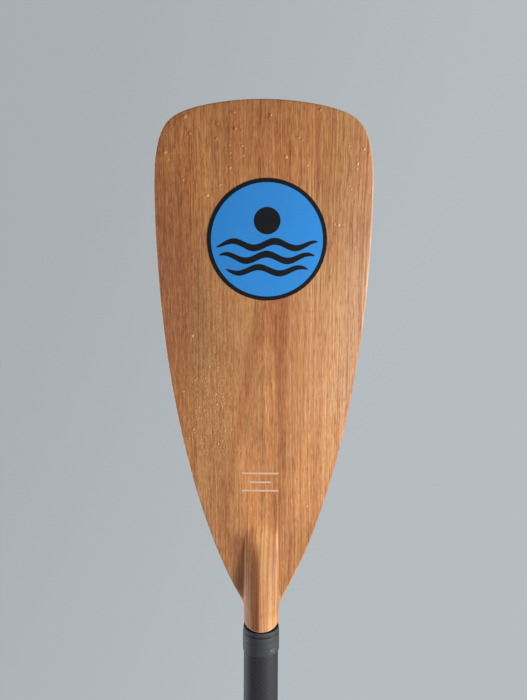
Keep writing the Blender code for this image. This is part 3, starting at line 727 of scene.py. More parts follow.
    # mottled lighter and darker on the left: painted light and shade of fine damp
    painted_damp_mottle = g.sub(g.noise(g.vec(g.mul(xw, 850.0), g.mul(v, 540.0), deep), 1.0, 2.0), 0.5)
    damp = g.mul(g.mul(g.smooth(x, -0.072, -0.056), g.smooth(x, -0.020, -0.034)),
                 g.mul(g.smooth(v, 0.110, 0.150), g.smooth(v, 0.350, 0.250)))
    tone = g.add(tone, g.mul(g.mul(painted_damp_mottle, damp), 0.70))
    wood = g.ramp(tone, [(0.0, (0.240, 0.071, 0.017)), (0.30, (0.365, 0.130, 0.037)),
                         (0.60, (0.490, 0.207, 0.070)), (1.0, (0.640, 0.320, 0.125))])
    # redder in the arched middle and in patches
    hue = g.noise(g.vec(g.mul(xw, 45.0), g.mul(v, 3.0), g.add(deep, 9.0)), 1.0, 1.0)
    redder = g.add(g.mul(g.smooth(hue, 0.50, 0.72), 0.30), g.mul(second, 0.30))
    redder = g.add(redder, g.mul(outer, 0.25))
    wood = g.mix(redder, wood, g.mix(1.0, wood, (1.03, 0.86, 0.82), 'MULTIPLY'))
    wood = g.mix(g.mul(g.smooth(hue, 0.47, 0.30), 0.5), wood, g.mix(1.0, wood, (0.99, 1.05, 0.93), 'MULTIPLY'))
    # deeper orange near the tip, paler down the left side
    near_tip = g.smooth(v, 0.270, 0.365)
    wood = g.mix(near_tip, wood, g.mix(1.0, wood, (1.0, 0.955, 0.84), 'MULTIPLY'))
    left = g.smooth(x, -0.004, -0.034)
    pale = g.mul(left, g.add(g.sub(0.045, g.mul(g.smooth(x, -0.062, -0.050), 0.090)), g.mul(g.add(g.smooth(v, 0.32, 0.37), g.smooth(v, 0.22, 0.16)), 0.09)))
    pale = g.add(pale, g.mul(g.mul(g.smooth(x, 0.020, 0.078), near_tip), -0.12))
    pale = g.add(pale, g.mul(g.mul(g.smooth(x, 0.013, 0.020), g.smooth(v, 0.095, 0.060)), -0.10))
    # light tongue running up from the neck, quieter strip left of it
    tongue = g.mul(g.smooth(g.math('ABSOLUTE', g.add(xw, g.add(0.0085, g.mul(g.sub(v, 0.09), 0.05)))), 0.013, 0.003),
                   g.mul(g.smooth(v, 0.165, 0.110), g.smooth(v, 0.050, 0.064)))
    quiet = g.mul(g.mul(g.smooth(xw, -0.060, -0.052), g.smooth(xw, -0.036, -0.043)),
                  g.mul(g.smooth(v, 0.195, 0.225), g.smooth(v, 0.345, 0.325)))
    pale = g.add(pale, g.sub(g.mul(tongue, 0.30), g.mul(quiet, 0.13)))
    heart = g.mul(g.mul(g.smooth(x, 0.0015, 0.0045), g.smooth(x, 0.0115, 0.0085)),
                  g.mul(g.smooth(v, 0.215, 0.185), g.smooth(v, 0.052, 0.070)))
    margin = g.mul(g.smooth(x, 0.056, 0.070), g.mul(g.smooth(v, 0.15, 0.20), g.smooth(v, 0.345, 0.315)))
    pale = g.add(pale, g.sub(g.mul(heart, 0.20), g.mul(margin, 0.13)))
    upper = g.mul(g.mul(g.smooth(x, -0.050, -0.036), g.smooth(x, 0.000, -0.010)), g.smooth(v, 0.345, 0.365))
    pale = g.sub(pale, g.mul(upper, 0.07))
    corner = g.mul(g.mul(g.smooth(x, -0.070, -0.062), g.smooth(x, -0.038, -0.048)), g.smooth(v, 0.270, 0.330))
    pale = g.add(pale, g.mul(corner, 0.15))
    # the arch's two darker limbs
    limb = g.math('ABSOLUTE', g.sub(g.math('ABSOLUTE', xa), 0.0125))
    limb = g.mul(g.smooth(limb, 0.0048, 0.0015), g.mul(g.smooth(v, 0.130, 0.160), g.smooth(v, 0.285, 0.262)))
    pale = g.sub(pale, g.mul(limb, 0.085))
    wood = g.scale(wood, g.add(1.0, pale))
    # painted shade: the neck's left side darker and redder
    wood = g.mix(painted_neck_shade, wood, g.mix(1.0, wood, (0.58, 0.42, 0.30), 'MULTIPLY'))
    # painted shade: the neck's right side darker, more so near its edge
    painted_crest_shade = g.mul(g.mul(g.smooth(x, 0.0030, 0.0065), g.smooth(v, -0.012, 0.000)), g.mul(neck, g.smooth(v, 0.060, 0.046)))
    wood = g.scale(wood, g.sub(1.0, g.mul(painted_crest_shade, g.add(0.14, g.mul(g.smooth(x, 0.0085, 0.0115), 0.08)))))
    # painted shadow of the neck: darker, redder patch on the plate left of the neck
    foot = g.mul(g.mul(g.smooth(x, -0.031, -0.022), g.smooth(x, -0.0135, -0.0150)),
                 g.mul(g.smooth(v, 0.076, 0.056), g.smooth(v, 0.006, 0.024)))
    wood = g.mix(foot, wood, g.mix(1.0, wood, (0.69, 0.60, 0.58), 'MULTIPLY'))
    # redder leaf left of the glue line at the tip
    ruddy = g.mul(g.mul(g.smooth(x, -0.034, -0.022), g.smooth(x, 0.004, -0.001)), g.smooth(v, 0.350, 0.375))
    wood = g.mix(ruddy, wood, g.mix(1.0, wood, (0.99, 0.865, 0.84), 'MULTIPLY'))
    # greyer towards the left long edge; paler and bluer towards the right edge, a painted sheen
    flank = g.mul(g.mul(g.smooth(x, -0.054, -0.062), g.smooth(v, 0.19, 0.24)), g.smooth(v, 0.378, 0.360))
    wood = g.mix(flank, wood, g.mix(1.0, wood, (0.92, 0.885, 0.955), 'MULTIPLY'))
    # painted sheen along the right edge
    wood = g.mix(g.smooth(x, 0.036, 0.072), wood, g.mix(1.0, wood, (0.985, 1.06, 1.24), 'MULTIPLY'))
    # painted sheen: paler, bluer patch right of the middle
    painted_sheen_patch = g.mul(g.smooth(x, 0.022, 0.042), g.mul(g.smooth(v, 0.150, 0.190), g.smooth(v, 0.372, 0.345)))
    wood = g.mix(painted_sheen_patch, wood, g.mix(1.0, wood, (1.0, 1.045, 1.19), 'MULTIPLY'))
    # short dark pores
    pore = g.noise(g.vec(g.mul(xw, 1500.0), g.mul(v, 150.0), deep), 1.0, 0.0)
    wood = g.mix(g.mul(g.smooth(pore, 0.64, 0.78), 0.40), wood, (0.17, 0.055, 0.018))
    # glue line between the two leaves of veneer, from the tip down
    seam = g.smooth(g.math('ABSOLUTE', g.add(x, 0.0026)), 0.00085, 0.00038)
    seam = g.mul(seam, g.add(g.mul(g.smooth(v, 0.388, 0.404), 0.40), g.mul(g.smooth(v, 0.325, 0.37), 0.22)))
    wood = g.mix(seam, wood, (0.10, 0.034, 0.014))
    # faint yellowish smear where something dried on the face
    off = g.sub(x, g.add(0.0305, g.mul(g.sub(v, 0.215), -0.12)))
    smear = g.mul(g.mul(g.smooth(off, -0.0065, 0.0), g.smooth(off, 0.0042, 0.0030)),
                  g.mul(g.smooth(v, 0.193, 0.205), g.smooth(v, 0.232, 0.212)))
    wood = g.mix(g.mul(smear, 0.45), wood, (0.43, 0.205, 0.035))
    # ring where a drop dried
    rx, rv = g.mul(g.sub(x, 0.0387), 1 / 0.0041), g.mul(g.sub(v, 0.2584), 1 / 0.0026)
    ring = g.math('SQRT', g.add(g.mul(rx, rx), g.mul(rv, rv)))
    ring = g.smooth(g.math('ABSOLUTE', g.sub(ring, 1.0)), 0.30, 0.08)
    wood = g.mix(g.mul(ring, 0.40), wood, (0.40, 0.165, 0.040))
    # thin rim: painted shade as a dark line on the left edge, painted highlight as a pale line on the right and round
    # the tip
    rim = g.mul(g.smooth(g.math('ABSOLUTE', w), 0.00150, 0.00070), g.smooth(v, 0.006, 0.016))
    to_left = g.mul(g.smooth(x, -0.004, -0.016), g.smooth(v, 0.402, 0.385))
    strong = g.add(g.mul(g.smooth(v, 0.125, 0.100), 0.62), g.mul(g.smooth(v, 0.300, 0.330), 0.40))
    wood = g.mix(g.mul(g.mul(rim, to_left), strong), wood, (0.105, 0.048, 0.022))
    painted_rim_highlight = g.sub(1.0, g.mul(to_left, g.smooth(strong, 0.0, 0.3)))
    low_right = g.mul(g.smooth(x, 0.010, 0.020), g.mul(g.smooth(v, 0.020, 0.050), g.smooth(v, 0.290, 0.210)))
    painted_rim_highlight = g.mul(painted_rim_highlight, g.sub(1.0, low_right))
    # painted shade: the low right rim darker
    painted_rim_shade = g.mul(g.mul(g.smooth(g.math('ABSOLUTE', w), 0.00172, 0.00150), low_right), g.smooth(x, 0.030, 0.036))
    wood = g.mix(painted_rim_shade, wood, g.mix(1.0, wood, (0.78, 0.64, 0.54), 'MULTIPLY'))
    wood = g.mix(g.mul(g.mul(rim, painted_rim_highlight), 0.55), wood, (0.78, 0.58, 0.38))
    # pale cut end of the veneer
    wood = g.mix(g.mul(g.smooth(cut, 0.3, 0.9), 0.70), wood, (0.66, 0.42, 0.25))
    if wet:
        # beads drawn opaque: lighter and paler than the wood, painted light gathered through the water
        wood = g.mix(0.34, g.scale(wood, 1.12), (0.66, 0.42, 0.19))
        g.set(Base_Color=wood, Roughness=0.42, Specular_IOR_Level=0.4)
        g.set(Coat_Weight=0.38, Coat_Roughness=0.20, Coat_IOR=1.33)
        return g.mat
    g.set(Base_Color=wood, Roughness=0.66, Specular_IOR_Level=0.42)
    g.set(Coat_Weight=0.30, Coat_Roughness=0.44, Coat_IOR=1.45)
    peel = g.noise(g.vec(g.mul(x, 420.0), g.mul(v, 300.0), deep), 1.0, 2.0)
    height = g.add(g.mul(dash, 0.6), g.add(g.mul(hair, 0.3), g.mul(peel, 0.5)))
    g.bump(height, 0.22, 0.00012)
    return g.mat


WOOD = wood_material()
blade = place_piece(blade_object(), WOOD, "blade_section", ["blade"])


# ------------------------------------------------------------------ plastics, carbon, metal
def moulded(name, color, rough, grain=900.0, depth=0.00005, wear=0.25, coat=0.0, spec=0.28):
    """Moulded plastic or rubber: fine texture, uneven sheen, slightly lighter scuffs."""
    g = Graph(name)
    p = g.object_coords()
    tex = g.noise(p, grain, 2.0)
    cloud = g.noise(p, 38.0, 3.0)
    scuff = g.noise(p, 160.0, 4.0, 0.7)
    low = tuple(c * 0.80 for c in color)
    high = tuple(min(c * 1.45, 1.0) for c in color)
    base = g.mix(cloud, low, high)
    base = g.mix(g.mul(g.smooth(scuff, 0.62, 0.80), wear), base, tuple(min(c * 1.8 + 0.02, 1.0) for c in color))
    g.set(Base_Color=base, Specular_IOR_Level=spec)
    g.put(g.shader.inputs["Roughness"], g.add(rough - 0.06, g.mul(cloud, 0.12)))
    if coat:
        g.set(Coat_Weight=coat, Coat_Roughness=0.15)
    g.bump(tex, 0.35, depth)
    return g.mat


def metal(name, color, rough, stretch=(1.0, 1.0, 0.05), aniso=0.0):
    """Turned or drawn metal with fine tool marks."""
    g = Graph(name)
    x, y, z = g.split(g.object_coords())
    marks = g.noise(g.vec(g.mul(x, 2500 * stretch[0]), g.mul(y, 2500 * stretch[1]),
                          g.mul(z, 2500 * stretch[2])), 1.0, 2.0)
    cloud = g.noise(g.object_coords(), 60.0, 3.0)
    base = g.mix(cloud, tuple(c * 0.86 for c in color), tuple(min(c * 1.1, 1.0) for c in color))
    g.set(Base_Color=base, Metallic=1.0)
    g.put(g.shader.inputs["Roughness"], g.add(rough - 0.06, g.mul(marks, 0.14)))
    g.bump(marks, 0.15, 0.00003)
    return g.mat


def carbon_material(name, color, rough, weave=0.5):
    """Carbon laminate: diagonal weave seen faintly under a matt lacquer, with lengthwise streaks."""
    g = Graph(name)
    u, v, _ = g.uv("grain")
    a = g.mul(g.add(u, v), 1000.0 / 2.1)
    b = g.mul(g.sub(u, v), 1000.0 / 2.1)
    tow_a = g.math('PINGPONG', a, 1.0)
    tow_b = g.math('PINGPONG', b, 1.0)
    check = g.math('GREATER_THAN', g.math('SINE', g.mul(a, math.pi)), g.math('SINE', g.mul(b, math.pi)))
    tows = g.mix(check, g.vec(tow_a, tow_a, tow_a), g.vec(tow_b, tow_b, tow_b))
    tow = g.split(tows)[0]
    streak = g.noise(g.vec(g.mul(u, 900.0), g.mul(v, 14.0), 0.0), 1.0, 2.0)
    cloud = g.noise(g.vec(g.mul(u, 60.0), g.mul(v, 22.0), 0.0), 1.0, 3.0)
    speck = g.noise(g.vec(g.mul(u, 1800.0), g.mul(v, 1500.0), 0.0), 1.0, 1.0)
    fac = g.add(g.mul(g.sub(tow, 0.5), weave), g.add(g.mul(g.sub(streak, 0.5), 0.5), g.mul(g.sub(cloud, 0.5), 0.5)))
    fac = g.add(0.5, g.add(fac, g.mul(g.sub(speck, 0.5), 0.35)))
    base = g.mix(fac, tuple(c * 0.62 for c in color), tuple(c * 1.45 for c in color))
    g.set(Base_Color=base, Specular_IOR_Level=0.25, Sheen_Weight=0.05, Sheen_Roughness=0.30)
    g.put(g.shader.inputs["Roughness"], g.add(rough - 0.05, g.mul(cloud, 0.10)))
    g.bump(g.add(g.mul(tow, 0.4), g.mul(speck, 0.4)), 0.22, 0.00004)
    return g.mat


CARBON = carbon_material("matt_carbon", (0.0275, 0.0267, 0.0312), 0.61)
CARBON_MID = carbon_material("matt_carbon_middle", (0.024, 0.024, 0.027), 0.58)
FERRULE_MAT = carbon_material("sanded_carbon", (0.040, 0.040, 0.043), 0.45, 0.8)
CLAMP_MAT = moulded("clamp_glass_nylon", (0.022, 0.022, 0.024), 0.48, 1300.0)
LEVER_MAT = moulded("lever_glass_nylon", (0.026, 0.026, 0.029), 0.42, 1300.0)
GRIP_MAT = moulded("grip_nylon_body", (0.022, 0.022, 0.025), 0.50, 1100.0)
PAD_MAT = moulded("pad_soft_rubber", (0.040, 0.042, 0.046), 0.75, 700.0, 0.00012, 0.15)
SEAL_MAT = moulded("seam_rubber_black", (0.014, 0.014, 0.015), 0.72, 900.0)
PLUG_MAT = moulded("plug_nylon", (0.030, 0.030, 0.033), 0.52, 1200.0)
BUSH_MAT = moulded("bush_white_acetal", (0.68, 0.68, 0.65), 0.42, 1500.0, 0.00002, 0.0)
FOAM_MAT = moulded("closed_cell_foam", (0.58, 0.58, 0.55), 0.95, 520.0, 0.0004, 0.0)
STEEL = metal("stainless", (0.56, 0.57, 0.58), 0.28)
SPRING = metal("spring_strip", (0.50, 0.51, 0.52), 0.30, (0.1, 1.0, 0.05))
BRASS = metal("brass_plate", (0.60, 0.45, 0.18), 0.34, (1.0, 1.0, 0.03))
NUT_MAT = metal("black_anodised", (0.075, 0.075, 0.082), 0.36)
RIVET_MAT = metal("bare_aluminium", (0.62, 0.62, 0.63), 0.32)
TUBE_MAT = metal("dark_anodised_tube", (0.085, 0.087, 0.093), 0.34, (1.0, 1.0, 0.01))

# ------------------------------------------------------------------ collar and lower shaft
top = THROAT_Z - 18.8
z0 = THROAT_Z - COLLAR_BOT
collar_profile = [(13.75, z0 + 0.3), (14.2, z0), (15.45, z0), (15.72, z0 + 0.12), (15.84, z0 + 0.45)]
for k, zz in enumerate((z0 + 3.1, z0 + 5.6, z0 + 10.4)):
    collar_profile += [(15.86, zz - 0.30), (15.81, zz - 0.10), (15.81, zz + 0.10), (15.86, zz + 0.30)]
collar_profile += [(15.86, top - 4.25), (15.80, top - 4.05), (15.66, top - 3.95), (15.42, top - 3.90),
                   (15.38, top - 3.6), (15.38, top - 3.2), (15.44, top - 3.0), (15.58, top - 2.96),
                   (15.66, top - 2.80), (15.64, top - 2.3), (15.52, top - 1.2), (15.40, top - 0.45),
                   (15.30, top - 0.15), (15.16, top), (15.02, top - 0.03), (14.95, top - 0.25),
                   (14.95, top - 2.3), (13.75, top - 2.4)]


def collar_material():
    """Satin black sleeve: moulding texture, painted shade in the groove under its cap near the front and back, a few
    nicks low on the right.
    """
    g = Graph("collar_black")
    p = g.object_coords()
    px, py, pz = g.split(p)
    color = (0.038, 0.038, 0.0425)
    cloud = g.noise(p, 46.0, 3.0)
    rings = g.noise(g.vec(g.mul(px, 20.0), g.mul(py, 20.0), g.mul(pz, 900.0)), 1.0, 2.0)
    scuff = g.noise(g.vec(g.mul(px, 260.0), g.mul(py, 260.0), g.mul(pz, 700.0)), 1.0, 3.0, 0.7)
    base = g.mix(cloud, tuple(c * 0.72 for c in color), tuple(c * 1.35 for c in color))
    base = g.mix(g.mul(g.smooth(scuff, 0.58, 0.78), 0.30), base, (0.085, 0.087, 0.095))
    # painted shade: dark line in the groove under the cap, near the front and back only
    painted_groove_shade = g.smooth(g.math('ABSOLUTE', g.sub(pz, (THROAT_Z - 22.72) * MM)), 0.00055, 0.00035)
    painted_groove_shade = g.mul(painted_groove_shade, g.smooth(g.math('ABSOLUTE', g.add(px, 0.001)), 0.0115, 0.0085))
    base = g.mix(g.mul(painted_groove_shade, 0.85), base, (0.008, 0.008, 0.009))
    # nicks: tiny pale spots gathered round one place
    dx, dy, dz = g.sub(px, 10.2 * MM), g.sub(py, -12.0 * MM), g.sub(pz, (THROAT_Z - 35.2) * MM)
    away = g.math('SQRT', g.add(g.mul(dx, dx), g.add(g.mul(dy, dy), g.mul(dz, dz))))
    nick = g.noise(g.vec(g.mul(px, 1500.0), g.mul(py, 1500.0), g.mul(pz, 1100.0)), 1.0, 1.0)
    nick = g.mul(g.smooth(nick, 0.60, 0.66), g.smooth(away, 0.0036, 0.0016))
    base = g.mix(g.mul(nick, 0.55), base, (0.40, 0.40, 0.42))
    g.set(Base_Color=base, Specular_IOR_Level=0.34)
    g.put(g.shader.inputs["Roughness"], g.add(0.56, g.mul(cloud, 0.14)))
    g.bump(g.add(g.mul(rings, 0.5), g.noise(p, 1600.0, 2.0)), 0.30, 0.00004)
    return g.mat


place_piece(lathe("neck_collar", collar_profile, True, 128), collar_material(), "blade_section",
            ["shaft_collar"])
place_piece(core_object(), moulded("core_black", (0.0035, 0.0035, 0.004), 0.8, 1200.0, 0.00003, 0.0, spec=0.10),
            "blade_section")


def fine_tube(name, r, ri, a, b):
    return lathe(name, round_profile([(ri, a), (r, a), (r, b), (ri, b)], 0.35), True, 112)


place_piece(fine_tube("lower_shaft", SHAFT_R, SHAFT_RI, 803.0, z0 - GAP), CARBON, "blade_section",
            ["lower_tube"])

# ------------------------------------------------------------------ plug-in joint, middle and upper tubes
BUTTON_Z, BUTTON_R, BUTTON_OUT = 752.0, 3.6, 17.3


def button_hole(r, y0=-10.0):
    return turned(stack("hole", [(circle(r), 0.0), (circle(r), 12.0)]), (0, -1, 0), (0, y0, BUTTON_Z))


middle = fine_tube("middle_shaft", SHAFT_R, SHAFT_RI, 165.0, 800.0)
carve(middle, button_hole(BUTTON_R + GAP), stack("slot", [(square(10, 20, -1.2, 1.2), 160.0),
                                                          (square(10, 20, -1.2, 1.2), 199.0)]))
place_piece(middle, CARBON_MID, "middle_section", ["middle_tube"])
ferrule = fine_tube("joint_sleeve", 13.5, 12.25, 703.0, 875.0)
carve(ferrule, button_hole(BUTTON_R + GAP))
place_piece(ferrule, FERRULE_MAT, "blade_section", ["joint_ferrule"])
place_piece(lathe("joint_sleeve_plug", [(0.0, 700.6), (11.6, 700.6), (12.6, 700.75), (13.05, 701.1), (13.2, 701.6),
                                        (13.2, 702.7), (11.95, 702.7), (11.95, 713.8), (11.6, 714.6),
                                        (10.9, 715.0), (0.0, 715.0)], False, 80, 40),
            PLUG_MAT, "blade_section", ["ferrule_plug"])
place_piece(lathe("seam_seal", [(13.8, 800.3), (15.15, 800.3), (15.42, 800.42), (15.62, 800.75), (15.70, 801.1),
                                (15.58, 801.35), (15.58, 801.65), (15.70, 801.9), (15.62, 802.25),
                                (15.42, 802.58), (15.15, 802.7), (13.8, 802.7)], True, 112, 40),
            SEAL_MAT, "blade_section", ["seam_ring"])
dome = [(0.0, 0.0)]
for k in range(1, 13):
    a = math.radians(90.0 * k / 12)
    dome.append((3.6 * math.sin(a), 2.0 * (1 - math.cos(a))))
place_piece(turned(lathe("release_button", dome + [(3.6, 6.7), (4.9, 6.7), (5.0, 6.8), (5.0, 7.5), (4.9, 7.6), (0.0, 7.6)],
                         False, 64, 40), (0, 1, 0), (0, -BUTTON_OUT, BUTTON_Z)),
            STEEL, "snap_button", ["snap_button"])


def clip_object():
    """V of spring strip behind the button. Its front leg gives when the button is pressed."""
    half, thick, edge = 4.0, 0.35, 0.12
    front = -BUTTON_OUT + 7.6 + GAP + thick
    bend_z = BUTTON_Z + 62.0
    line = [(front, BUTTON_Z - 8.0), (front, BUTTON_Z - 4.0), (front, BUTTON_Z), (front, BUTTON_Z + 4.0)]
    for k in range(25):
        t = k / 24
        line.append((front + (-3.0 - front) * t, BUTTON_Z + 7.0 + (bend_z - BUTTON_Z - 7.0) * t))
    for k in range(1, 24):
        a = math.pi * (1 - k / 24)
        line.append((3.0 * math.cos(a), bend_z + 3.0 * math.sin(a)))
    line += [(3.0 + 5.6 * k / 12, bend_z + (BUTTON_Z + 7.0 - bend_z) * k / 12) for k in range(13)]
    line += [(9.5, BUTTON_Z + 2.0), (10.05, BUTTON_Z - 0.5), (10.2, BUTTON_Z - 2.0), (10.0, BUTTON_Z - 4.0),
             (9.2, BUTTON_Z - 9.0)]
    loops = []
    for i, p in enumerate(line):
        t = (Vector(line[min(i + 1, len(line) - 1)]) - Vector(line[max(i - 1, 0)])).normalized()
        n = Vector((-t.y, t.x))
        ring = []
        for x, off in ((-half + edge, thick), (half - edge, thick), (half, thick - edge), (half, edge - thick),
                       (half - edge, -thick), (edge - half, -thick), (-half, edge - thick), (-half, thick - edge)):
            ring.append((x, p[0] + n.x * off, p[1] + n.y * off))
        loops.append(ring)
    return skin("spring_strip", loops, cap_first=True, cap_last=True, sharp=30)


clip = paint(clip_object(), SPRING)
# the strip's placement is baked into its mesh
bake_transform(clip)
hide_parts("snap_clip")


def upper_tube():
    """Drawn alloy tube with a key groove down its left side."""
    half = math.asin(1.8 / UPPER_R)
    n = 120
    angles = [math.pi + half + (2 * math.pi - 2 * half) * k / n for k in range(n + 1)]
    flat = [1.8 - 3.6 * k / 6 for k in range(7)]

    def ring(r, z, cut):
        pts = [(r * math.cos(a), r * math.sin(a), z) for a in angles]
        for y in flat:
            x = -(UPPER_R - 0.75) if cut else -math.sqrt(r * r - min(y * y, r * r))
            pts.append((x, y, z))
        return pts

    def plain(r, z):
        return [(-math.sqrt(r * r - p[1] ** 2) if len(angles) <= i else p[0], p[1], z)
                for i, p in enumerate(ring(r, z, False))]

    rings = [plain(UPPER_RI, 61.0), plain(UPPER_R - 0.3, 61.0), plain(UPPER_R, 61.3), ring(UPPER_R, 124.0, False),
             ring(UPPER_R, 124.0, True), ring(UPPER_R, 687.7, True), ring(UPPER_R - 0.3, 688.0, True),
             plain(UPPER_RI, 688.0)]
    return skin("upper_shaft", rings, close_rows=True, sharp=35)


place_piece(upper_tube(), TUBE_MAT, "handle_section", ["upper_tube"])


def tick_object():
    """Printed length marks on the front of the upper tube: a short one every 10 mm, a long one every 50 mm."""
    bm = bmesh.new()
    for k in range(44):
        z = 210.0 + 10.0 * k
        wide = math.radians(19.0 if k % 5 == 0 else 9.0)
        n = 10
        rows = []
        for r in (UPPER_R - 0.03, UPPER_R + 0.05):
            for zz in (z - 0.3, z + 0.3):
                rows.append([bm.verts.new((r * math.sin(wide * (2 * j / n - 1)) * MM,
                                           -r * math.cos(wide * (2 * j / n - 1)) * MM, zz * MM)) for j in range(n + 1)])
        for a, b in ((rows[0], rows[1]), (rows[1], rows[3]), (rows[3], rows[2]), (rows[2], rows[0])):
            for j in range(n):
                bm.faces.new((a[j], a[j + 1], b[j + 1], b[j]))
        for j in (0, n):
            bm.faces.new((rows[0][j], rows[1][j], rows[3][j], rows[2][j]))
    bmesh.ops.recalc_face_normals(bm, faces=bm.faces)
    return to_object("length_marks", bm, 30)


def ink_material():
    g = Graph("pale_ink")
    p = g.object_coords()
    worn = g.noise(p, 700.0, 3.0, 0.7)
    g.set(Base_Color=g.mix(g.smooth(worn, 0.35, 0.70), (0.62, 0.63, 0.63), (0.40, 0.41, 0.42)), Roughness=0.55)
    return g.mat


place_piece(tick_object(), ink_material(), "handle_section")

# ------------------------------------------------------------------ quick clamp
CLAMP_Z0, CLAMP_Z1, CLAMP_RI, CLAMP_RO = 162.2, 201.0, 15.3, 18.6
CLAMP_MID = 0.5 * (CLAMP_Z0 + CLAMP_Z1)
EAR_X, EAR_Y, SLIT = 30.0, 6.5, 1.75
PIN_X, PIN_Y, CAM_R, CAM_OFF = 24.5, -14.2, 5.0, 0.7
LEVER_H, EYE_H, LEVER_RI, LEVER_RO = 22.0, 10.0, 19.3, 22.9


def clamp_outline(off, bore=0.0, n=110):
    ri, ro = CLAMP_RI + bore, CLAMP_RO + off
    g_in, g_out = math.asin(SLIT / ri), math.asin(EAR_Y / ro)
    pts = []
    for k in range(n + 1):
        a = g_in + (2 * math.pi - 2 * g_in) * k / n
        pts.append((ri * math.cos(a), ri * math.sin(a)))
    pts += [(EAR_X - 1.2, -SLIT), (EAR_X, -SLIT - 1.0), (EAR_X, -EAR_Y + 1.6), (EAR_X - 0.5, -EAR_Y + 0.5),
            (EAR_X - 1.6, -EAR_Y)]
    for k in range(n + 1):
        a = -g_out - (2 * math.pi - 2 * g_out) * k / n
        pts.append((ro * math.cos(a), ro * math.sin(a)))
    pts += [(EAR_X - 1.6, EAR_Y), (EAR_X - 0.5, EAR_Y - 0.5), (EAR_X, EAR_Y - 1.6), (EAR_X, SLIT + 1.0),
            (EAR_X - 1.2, SLIT)]
    return pts


def clamp_object():
    levels = []
    for k in range(5):
        a = math.radians(90 * k / 4)
        levels.append((CLAMP_Z0 + 0.9 * (1 - math.sin(a)), -0.9 * (1 - math.cos(a)), 0.25 * (1 - math.cos(a))))
    levels = [(z, off, bore) for z, off, bore in reversed(levels)]
    for mid in (CLAMP_Z0 + 4.6, CLAMP_Z0 + 7.0):
        levels += [(mid - 0.65, 0.0, 0.0), (mid - 0.3, -0.40, 0.0), (mid + 0.3, -0.40, 0.0), (mid + 0.65, 0.0, 0.0)]
    half = levels[:]
    for z, off, bore in reversed(half):
        levels.append((CLAMP_Z0 + CLAMP_Z1 - z, off, bore))
    obj = stack("clamp_band", [(clamp_outline(off, bore), z) for z, off, bore in levels])
    cuts = [turned(stack("hole", [(circle(2.8, seg=40), -12.0), (circle(2.8, seg=40), 12.0)]), (0, 1, 0),
                   (PIN_X, 0, CLAMP_MID))]
    for z0c, z1c in ((CLAMP_Z0 - 5, CLAMP_MID - 13.5), (CLAMP_MID + 13.5, CLAMP_Z1 + 5)):
        cuts.append(stack("cut", [(square(19.5, 40, -10, 10), z0c), (square(19.5, 40, -10, 10), z1c)]))
    carve(obj, *cuts)
    return soften(obj, 0.35, 2, 55.0)


def lever_object():
    a0, a1, n = math.radians(-152), math.radians(-58), 150
    pts = []
    for k in range(n + 1):
        a = a0 + (a1 - a0) * k / n
        deg = math.degrees(a - a0)
        r = LEVER_RO
        if 3.0 < deg < 24.6:
            r -= 0.45 * (0.5 - 0.5 * math.cos(2 * math.pi * (deg - 3.0) / 3.6))
        pts.append((r * math.cos(a), r * math.sin(a)))
    cy = PIN_Y + CAM_OFF
    for k in range(49):
        a = math.radians(-95 + 268 * k / 48)
        pts.append((PIN_X + CAM_R * math.cos(a), cy + CAM_R * math.sin(a)))
    for k in range(61):
        a = a1 + (a0 - a1) * k / 60
        pts.append((LEVER_RI * math.cos(a), LEVER_RI * math.sin(a)))
    low, high = CLAMP_MID - LEVER_H / 2, CLAMP_MID + LEVER_H / 2
    obj = stack("quick_lever", [(pts, low), (pts, high)])
    reach = EYE_H / 2 + GAP
    carve(obj, stack("pin", [(circle(2.3, PIN_X, PIN_Y, 48), low - 5), (circle(2.3, PIN_X, PIN_Y, 48), high + 5)]),
          stack("fork", [(circle(7.2, PIN_X, PIN_Y, 72), CLAMP_MID - reach), (circle(7.2, PIN_X, PIN_Y, 72), CLAMP_MID + reach)]))
    return soften(obj, 0.7, 3, 50.0)


def nut_object():
    n = 224
    rows = []
    for z, shrink in ((0.0, 0.5), (0.25, 0.2), (0.6, 0.0), (7.5, 0.0), (7.95, 0.25), (8.2, 0.7)):
        ring = []
        for k in range(n):
            a = 2 * math.pi * k / n
            r = 5.6 + 0.35 * math.cos(14 * a) - shrink
            ring.append((r * math.cos(a), r * math.sin(a)))
        rows.append((ring, z))
    obj = stack("thumb_nut", rows)
    hexagon = [(2.6 * math.cos(math.pi * k / 3), 2.6 * math.sin(math.pi * k / 3)) for k in range(6)]
    carve(obj, stack("bore", [(circle(2.7, seg=40), -2.0), (circle(2.7, seg=40), 4.0)]),
          stack("key", [(hexagon, 5.6), (hexagon, 10.0)]))
    return turned(obj, (0, 1, 0), (PIN_X, EAR_Y + GAP, CLAMP_MID))


place_piece(clamp_object(), CLAMP_MAT, "middle_section", ["clamp_collar"])
place_piece(lever_object(), LEVER_MAT, "clamp_lever", ["clamp_lever"])
place_piece(nut_object(), NUT_MAT, "middle_section", ["adjust_nut"])
place_piece(lathe("hinge_pin", [(0.0, CLAMP_MID - 11.2), (0.7, CLAMP_MID - 11.45), (1.5, CLAMP_MID - 11.6),
                                (1.85, CLAMP_MID - 11.45), (2.0, CLAMP_MID - 11.1), (2.0, CLAMP_MID + 11.1),
                                (1.85, CLAMP_MID + 11.45), (1.5, CLAMP_MID + 11.6), (0.7, CLAMP_MID + 11.45),
                                (0.0, CLAMP_MID + 11.2)], False, 48, 40, (PIN_X, PIN_Y)),
            STEEL, "middle_section", ["lever_pin"])

# ------------------------------------------------------------------ T-grip
GRIP_HALF_W, GRIP_HALF_D, GRIP_MID_Z = 57.0, 17.0, 18.0
GRIP_NECK_R, GRIP_NECK_Z = 13.8, 57.0
PAD_THICK, PAD_Z = 2.2, 20.0


